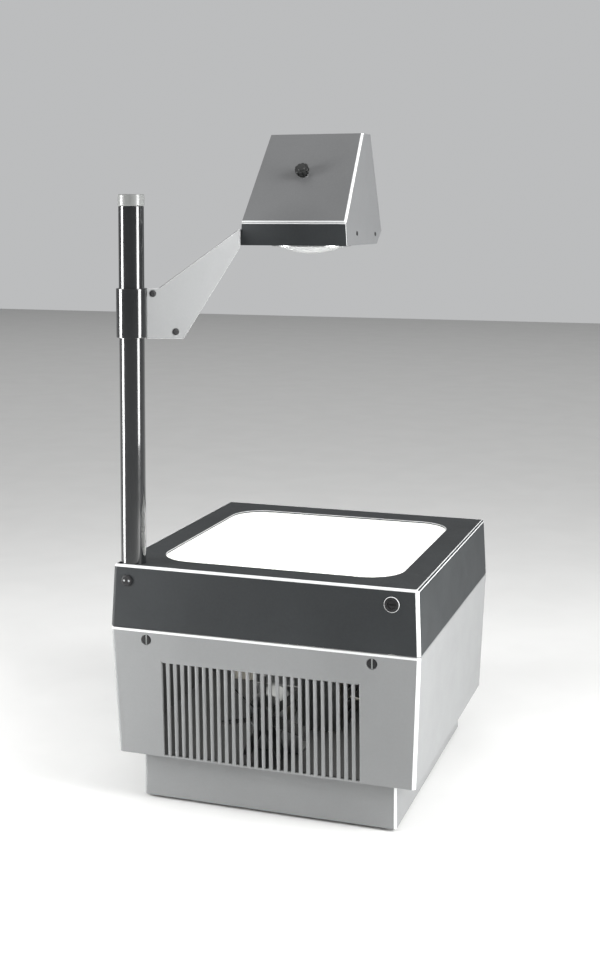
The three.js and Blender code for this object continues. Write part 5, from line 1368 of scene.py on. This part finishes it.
def head_housing():
    """Head with its window and its way for the bush, with pale painted highlights down the slope's right
    edge and at its foot.
    """
    behind, above_floor = 60, 10
    head = head_body()

    def fold(edge):
        place = mid(edge)
        lift = place.z - HEAD_LOW.z
        on_side = abs(abs(place.x) - head_side(lift)) < 0.15
        on_ridge = abs(lift - HEAD_HEIGHT) < 0.1
        return (on_side or on_ridge) and place.y < behind and lift > above_floor
    rounding = user_length("head_round")
    # The right-hand folds take the pale paint as painted highlights; the left-hand ones keep the head's grey
    round_edges(head, lambda edge: fold(edge) and run_of(edge).z ** 2 > 0.1 and mid(edge).x > 0,
                rounding, steps=4, highlighted=True)
    round_edges(head, lambda edge: fold(edge) and mid(edge).x < 1, rounding, steps=4)
    band_top = HEAD_LOW.z + BAND_HEIGHT - REST_GAP
    past = Vector((OVERRUN, OVERRUN, OVERRUN))
    combine(head, block("band_cutter", HEAD_LOW - past,
                        (HEAD_HIGH.x + OVERRUN, HEAD_LOW.y + BAND_THICKNESS + FIT, band_top)))
    half_window, window_front, window_low, window_top = 49, 26, 26, 114
    combine(head, block("window_cutter", (-half_window, window_front, HEAD_LOW.z + window_low),
                        (half_window, HEAD_HIGH.y + OVERRUN, HEAD_LOW.z + window_top)))
    bore(head, "bush_way", BUSH_RADIUS + FIT, KNOB_FOOT - SLOPE_NORMAL * OVERRUN,
         KNOB_FOOT + SLOPE_NORMAL * OVERRUN, sides=48)
    # A pale strip at the front just above the band: a painted highlight
    strip = band_top + 1.8
    score(head, strip)
    highlight_faces(head, lambda face: mid(face).z < strip and mid(face).y < HEAD_LOW.y + 9 and face.normal.y < -0.5)
    hand_over(head, "head_housing")


def lens_board():
    """Black band along the head's front foot, with the floor that carries the lens."""
    low, high = extent("lens_board")
    band = block("head_band", low, (high.x, low.y + BAND_THICKNESS, high.z))
    taper(band, high.z, head_side(high.z - low.z) / high.x, 1)
    floor_half = head_side(BOARD_FLOOR) - HEAD_WALL - FIT
    combine(band, block("board_floor", (-floor_half, low.y + 1, low.z),
                        (floor_half, high.y, low.z + BOARD_FLOOR)), "UNION")
    bore(band, "lens_way", MOUNT_RADIUS + FIT, (0, 0, low.z - OVERRUN), (0, 0, low.z + OVERRUN), sides=128)
    give_finishes(band, "black_paint", "grey_highlight")

    def upper(edge):
        return mid(edge).y < low.y + 0.1 and mid(edge).z > high.z - 0.6

    def at_side(sign):
        return lambda edge: steep(edge) and mid(edge).y < low.y + 2 and sign * mid(edge).x > high.x - 4.6
    # The band's top edge and right end take the pale paint as painted highlights; the left end stays black
    round_edges(band, upper, width=1.6, highlighted=True)
    round_edges(band, at_side(1), width=2.4, steps=4, highlighted=True)
    round_edges(band, at_side(-1), width=1.2)
    hand_over(band, "lens_board")


def dome(radius, curve, steps):
    """Profile of a domed side, from its middle out, above the height of its rim."""
    rim = math.sqrt(curve ** 2 - radius ** 2)
    reaches = [radius * i / steps for i in range(steps + 1)]
    return [(reach, math.sqrt(curve ** 2 - reach ** 2) - rim) for reach in reaches]


def lens_mount():
    """Ring that holds the lens: a barrel through the board, with a flange above it."""
    low, high = extent("lens_ring")
    lip, barrel, groove, seat = LENS_RADIUS - 1.5, MOUNT_RADIUS, LENS_RADIUS + FIT, HEAD_LOW.z + BOARD_FLOOR
    rim = [(lip, low.z), (barrel, low.z), (barrel, seat + REST_GAP), (high.x, seat + REST_GAP),
           (high.x, high.z), (lip, high.z), (lip, high.z - 1), (groove, high.z - 1), (groove, low.z + 1),
           (lip, low.z + 1)]
    hand_over(turned("lens_mount", rim, reach=0.4, sides=128, closed=True, steps=2), "lens_ring")


def objective_lens():
    """Glass that is domed above and below its rim."""
    side = dome(LENS_RADIUS, curve=99, steps=24)
    upper = [(reach, HEAD_LOW.z + BOARD_FLOOR + rise) for reach, rise in side]
    lower = [(reach, HEAD_LOW.z - rise) for reach, rise in reversed(side)]
    hand_over(spun("lens_glass", upper + lower, steps=128), "objective_lens")


def head_screws():
    """Three screws through the head's sides into the board."""
    pan = screw("head_screw", radius=2.6, bottom=0, top=1.0, shank=1.2, shank_to=-1.0,
                slot_width=0.7, slot_depth=0.4)
    places = (("right_front", 1, -26, 13.7), ("right_rear", 1, 53, 12), ("left_rear", -1, 53, 12))
    fasten(pan, [(f"head_screw_{name}", (side * head_side(lift), y, HEAD_LOW.z + lift),
                  (side, 0, HEAD_LEAN), y) for name, side, y, lift in places])


def tilt_knob():
    """Knob with ten finger grips, on the screw that tips the mirror."""
    radius, top, foot, shank, screw_end = 8.3, 10.4, 4.4, 2, -13.7
    button, crown = 4.5, 12
    profile = [(0, crown), (button, crown), (button, top), (radius, top), (radius, foot), (shank, foot),
               (shank, screw_end), (0, screw_end)]
    knob = turned("tilt_knob", profile, reach=0.6, sides=120)
    gripped(knob, radius, count=10, radius=1.2, low=3, high=15, sides=20)
    hand_over(settle(knob, KNOB_FOOT, SLOPE_NORMAL), "mirror_knob")


def tilt_screw_fittings():
    """Bush in the slope and foot at the mirror's end of the screw."""
    way, flange, crown, inner_end = 2.3, 7, 1.3, -7.5
    sleeve = [(way, inner_end), (BUSH_RADIUS, inner_end), (BUSH_RADIUS, FIT), (flange, FIT), (flange, crown),
              (way, crown)]
    bush = turned("bush_turned", sleeve, reach=0.25, closed=True, steps=2)
    hand_over(settle(bush, KNOB_FOOT, SLOPE_NORMAL), "screw_bush")
    radius, tip, rim, cup_floor = 4.5, -15.6, -11.6, -14
    cup = [(0, tip), (radius, tip), (radius, rim), (way, rim), (way, cup_floor), (0, cup_floor)]
    foot = turned("foot_turned", cup, reach=0.3, steps=2)
    hand_over(settle(foot, KNOB_FOOT, SLOPE_NORMAL), "screw_foot")


def mirror_axle():
    """Plain axle with eased ends."""
    low, high = extent("mirror_axle")
    y, z = centre_of("mirror_axle").yz
    axle = rod("axle_rod", 2, (low.x, y, z), (high.x, y, z), sides=48)
    round_edges(axle, lambda edge: abs(abs(mid(edge).x) - high.x) < 0.1, width=0.4, steps=2)
    hand_over(axle, "mirror_axle")


# Lamp, its optics and the fan


def lamp_reflector():
    """Part of a sphere about the lamp, with a flat back."""
    lamp_z, curve, mouth, sheet = centre_of("halogen_lamp").z, 31.5, 27, 1.5
    back_z, opening = extent("lamp_reflector")[0].z, math.asin(mouth / curve)
    angles = [opening * i / 16 for i in range(17)]
    dish = [(curve * math.sin(angle), lamp_z - curve * math.cos(angle)) for angle in angles]
    rim_z = dish[-1][1]
    back = [(mouth + sheet, rim_z), (mouth + sheet, rim_z - sheet), (mouth / 2, back_z), (0, back_z)]
    hand_over(spun("reflector_dish", dish + back, steps=96), "lamp_reflector")


def halogen_lamp():
    """Bulb with a round end, pinched where it enters the socket."""
    low, high = extent("halogen_lamp")
    radius, neck, length = 6.5, 5, high.y - low.y
    bulb = [(0, 0), (1.8, 0.5), (3.25, 1.6), (5.2, 3.6), (radius, radius), (radius, 36.75), (5.9, 38.8),
            (neck, 40), (neck, length), (0, length)]
    lamp = settle(spun("lamp_bulb", bulb, steps=64), (0, low.y, centre_of("halogen_lamp").z), -AHEAD)
    hand_over(lamp, "halogen_lamp")


def condenser():
    """Lens, and the stepped ring that carries it above the square heat filter."""
    filter_low, filter_high = extent("heat_filter")
    radius, rim, step = 40, 9, 4
    floor, shelf = filter_low.z, filter_high.z + FIT + step
    groove, lip, foot = radius + FIT, radius - step, extent("condenser_ring")[1].x
    ring = [(lip, floor), (foot, floor), (foot, filter_high.z), (groove + rim, shelf),
            (groove + rim, shelf + step), (groove, shelf + step), (groove, shelf), (lip, shelf)]
    holder = turned("condenser_mount", ring, reach=0.5, sides=96, closed=True, steps=2)
    pocket = (filter_high.x + FIT, filter_high.y + FIT, filter_high.z + FIT)
    combine(holder, block("filter_pocket", (-pocket[0], -pocket[1], floor - OVERRUN), pocket))
    hand_over(holder, "condenser_ring")
    flat, edge = shelf + REST_GAP, 4
    side = [(reach, flat + edge + rise) for reach, rise in dome(radius, curve=72, steps=20)]
    hand_over(spun("condenser_glass", side + [(radius, flat), (0, flat)], steps=96), "condenser_lens")


def fan_motor():
    """Motor can with a boss for the shaft."""
    low, high = extent("fan_motor")
    radius, shaft, boss, front, depth = high.x, 2.5, 10, 12.2, high.y - low.y
    side_from, side_to = 14.5, 44
    can = [(0, 0), (shaft, 0), (shaft, front - 0.5), (boss, front), (radius - 2, front),
           (radius, side_from), (radius, side_to), (radius - 1.5, depth), (0, depth)]
    motor = turned("fan_motor_can", can, reach=0.6, sides=96, steps=2)
    hand_over(settle(motor, (0, low.y, centre_of("fan_motor").z), -AHEAD), "fan_motor")


# The studio, in metres


def studio_floor():
    """A plain pale floor under the object."""
    clear_selection()
    bpy.ops.mesh.primitive_plane_add(size=14, location=(0, 0, 0))
    floor = bpy.context.object
    floor.name = "studio_floor"
    paint("floor_pale", bpy.context.scene.projector_colours.floor_pale, drift=0.02, rough=0.6, grain=60,
          depth=0.02, dust=0.0)
    give_finishes(floor, "floor_pale")


def area_light(name, place, aim, size, power):
    """A soft rectangular light that is turned towards a point."""
    clear_selection()
    bpy.ops.object.light_add(type="AREA", location=place)
    lamp = bpy.context.object
    lamp.name = name
    lamp.data.shape = "RECTANGLE"
    lamp.data.size, lamp.data.size_y = size
    lamp.data.energy = power
    lamp.rotation_euler = (Vector(aim) - Vector(place)).to_track_quat("-Z", "Y").to_euler()


def photo_camera(place, down, turn, lens, shift):
    """The camera fitted to the photograph; angles in degrees, down from level and about Z."""
    clear_selection()
    bpy.ops.object.camera_add(location=place, rotation=(math.radians(90 - down), 0, math.radians(turn)))
    camera = bpy.context.object
    camera.name = "photo_camera"
    camera.data.lens = lens
    camera.data.sensor_width = 36
    camera.data.shift_y = shift
    bpy.context.scene.camera = camera


# One step for each group of pieces


class ProjectorPlinth(bpy.types.Operator):
    """Plinth tray with its intake vents, and four rubber feet"""

    bl_idname = "projector.plinth"
    bl_label = "Plinth and feet"

    def execute(self, context):
        plinth_tray()
        rubber_feet()
        return {"FINISHED"}


class ProjectorCasing(bpy.types.Operator):
    """Casing with its cut-outs and its grille of rounded ribs, and its two screws"""

    bl_idname = "projector.casing"
    bl_label = "Casing"

    def execute(self, context):
        casing_shell()
        casing_screws()
        return {"FINISHED"}


class ProjectorRear(bpy.types.Operator):
    """Mains inlet, fuse cap and rocker switch in the rear wall"""

    bl_idname = "projector.rear"
    bl_label = "Rear fittings"

    def execute(self, context):
        for node, width in (("power_inlet", 0.7), ("fuse_holder", 0.5), ("switch_body", 0.5),
                            ("switch_rocker", 0.7)):
            soften(node, f"{node}_shape", width, steps=3)
        return {"FINISHED"}


class ProjectorCover(bpy.types.Operator):
    """Cover with its stage mask and clamp screw, and its hinge with rivets"""

    bl_idname = "projector.cover"
    bl_label = "Cover and stage"

    def execute(self, context):
        cover_frame()
        stage_mask()
        clamp_screw()
        piano_hinge()
        return {"FINISHED"}


class ProjectorLock(bpy.types.Operator):
    """Lock ring, slotted barrel, tongue and catch"""

    bl_idname = "projector.lock"
    bl_label = "Lock"

    def execute(self, context):
        lock_ring()
        lock_barrel()
        for node in ("lock_tongue", "latch_catch"):
            soften(node, f"{node}_shape", width=0.4)
        return {"FINISHED"}


class ProjectorPost(bpy.types.Operator):
    """Post with its slot for the rack, its cap and its socket"""

    bl_idname = "projector.post"
    bl_label = "Post"

    def execute(self, context):
        post_tube()
        post_cap()
        soften("post_socket", "post_socket_cast", width=0.8)
        return {"FINISHED"}


class ProjectorCarriage(bpy.types.Operator):
    """Collar, drive housing, arm with its screws and focus knob"""

    bl_idname = "projector.carriage"
    bl_label = "Collar, arm and focus drive"

    def execute(self, context):
        collar()
        soften("drive_housing", "drive_housing_cast", width=0.8, steps=3, angle=40)
        arm_plate()
        arm_screws()
        focus_knob()
        return {"FINISHED"}


class ProjectorHead(bpy.types.Operator):
    """Head with its band, lens board, lens and screws"""

    bl_idname = "projector.head"
    bl_label = "Head and lens"

    def execute(self, context):
        head_housing()
        lens_board()
        lens_mount()
        objective_lens()
        head_screws()
        return {"FINISHED"}


class ProjectorMirror(bpy.types.Operator):
    """Mirror, its axle, and the knob, bush and foot of its screw"""

    bl_idname = "projector.mirror"
    bl_label = "Mirror and its screw"

    def execute(self, context):
        tilt_knob()
        tilt_screw_fittings()
        mirror_axle()
        soften("mirror_carrier", "mirror_frame", width=0.3, steps=2, angle=40)
        soften("mirror_glass", "mirror_plate", width=0.5)
        return {"FINISHED"}


class ProjectorLight(bpy.types.Operator):
    """Deck, lamp house, lamp, reflector, heat filter and condenser"""

    bl_idname = "projector.light"
    bl_label = "Light source"

    def execute(self, context):
        for node, width in (("chassis_deck", 0.3), ("lamp_house", 0.6), ("lamp_socket", 0.8),
                            ("heat_filter", 0.3)):
            soften(node, f"{node}_shape", width)
        lamp_reflector()
        halogen_lamp()
        condenser()
        return {"FINISHED"}


class ProjectorFan(bpy.types.Operator):
    """Fan bracket, motor and impeller behind the grille"""

    bl_idname = "projector.fan"
    bl_label = "Fan"

    def execute(self, context):
        soften("fan_bracket", "fan_bracket_folded", width=0.5)
        fan_motor()
        soften("fan_impeller", "fan_blades", width=0.3, steps=2, angle=40)
        return {"FINISHED"}


class ProjectorSupply(bpy.types.Operator):
    """Transformer, terminal block and leads"""

    bl_idname = "projector.supply"
    bl_label = "Transformer and leads"

    def execute(self, context):
        soften("transformer_core", "core_stack", width=0.3)
        soften("transformer_coil", "coil_winding", width=2.5, steps=4)
        soften("terminal_block", "terminal_strip", width=0.8)
        for node in ("mains_lead", "transformer_lead", "lamp_lead"):
            soften(node, f"{node}_run", width=0)
        return {"FINISHED"}


class ProjectorCarriedOver(bpy.types.Operator):
    """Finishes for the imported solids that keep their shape"""

    bl_idname = "projector.carried_over"
    bl_label = "Packed solids"

    def execute(self, context):
        for name, node in NODES.items():
            if node.hide_render:
                continue
            finish = FINISHES[FINISH_OF[name]]
            if not node.material_slots:
                node.data.materials.append(finish)
            for slot in node.material_slots:
                slot.material = finish
        return {"FINISHED"}


class ProjectorStage(bpy.types.Operator):
    """Pale floor, soft studio light and the camera"""

    bl_idname = "projector.stage"
    bl_label = "Floor, lights and camera"

    def execute(self, context):
        studio_floor()
        area_light("key_light", (1.22, -0.26, 0.76), aim=(0, -0.05, 0.35), size=(0.54, 1.3), power=32)
        area_light("left_light", (-1.05, -0.58, 0.46), aim=(-0.1, 0, 0.40), size=(0.33, 0.88), power=20)
        area_light("ceiling_light", (0, 0.4, 5.0), aim=(0, 0.4, 0), size=(12, 12), power=270)
        context.scene.world = soft_room(light=0.22, wall=0.54)
        context.scene.view_settings.view_transform = "Standard"
        photo_camera((0.5132, -1.5759, 0.6684), down=3.56, turn=18.52, lens=51.215, shift=-0.1914)
        return {"FINISHED"}


STEPS = (
    ProjectorPlinth, ProjectorCasing, ProjectorRear, ProjectorCover, ProjectorLock, ProjectorPost,
    ProjectorCarriage, ProjectorHead, ProjectorMirror, ProjectorLight, ProjectorFan, ProjectorSupply,
    ProjectorCarriedOver, ProjectorStage,
)


class ProjectorPanel(bpy.types.Panel):
    """Sizes, colours and steps of the projector"""

    bl_idname = "VIEW3D_PT_projector"
    bl_label = "Overhead projector"
    bl_space_type = "VIEW_3D"
    bl_region_type = "UI"
    bl_category = "Projector"

    def draw(self, context):
        for settings in (context.scene.projector_sizes, context.scene.projector_colours):
            column = self.layout.column(align=True)
            for label in settings.__annotations__:
                column.prop(settings, label)
        column = self.layout.column(align=True)
        for step in STEPS:
            column.operator(step.bl_idname)


CLASSES = (ProjectorSizes, ProjectorColours, *STEPS, ProjectorPanel)


def register():
    for entry in CLASSES:
        bpy.utils.register_class(entry)
    bpy.types.Scene.projector_sizes = bpy.props.PointerProperty(type=ProjectorSizes)
    bpy.types.Scene.projector_colours = bpy.props.PointerProperty(type=ProjectorColours)


def unregister():
    del bpy.types.Scene.projector_colours
    del bpy.types.Scene.projector_sizes
    for entry in reversed(CLASSES):
        bpy.utils.unregister_class(entry)


def main():
    register()
    build_finishes()
    for step in STEPS:
        group, name = step.bl_idname.split(".")
        getattr(getattr(bpy.ops, group), name)()


if __name__ == "__main__":
    main()
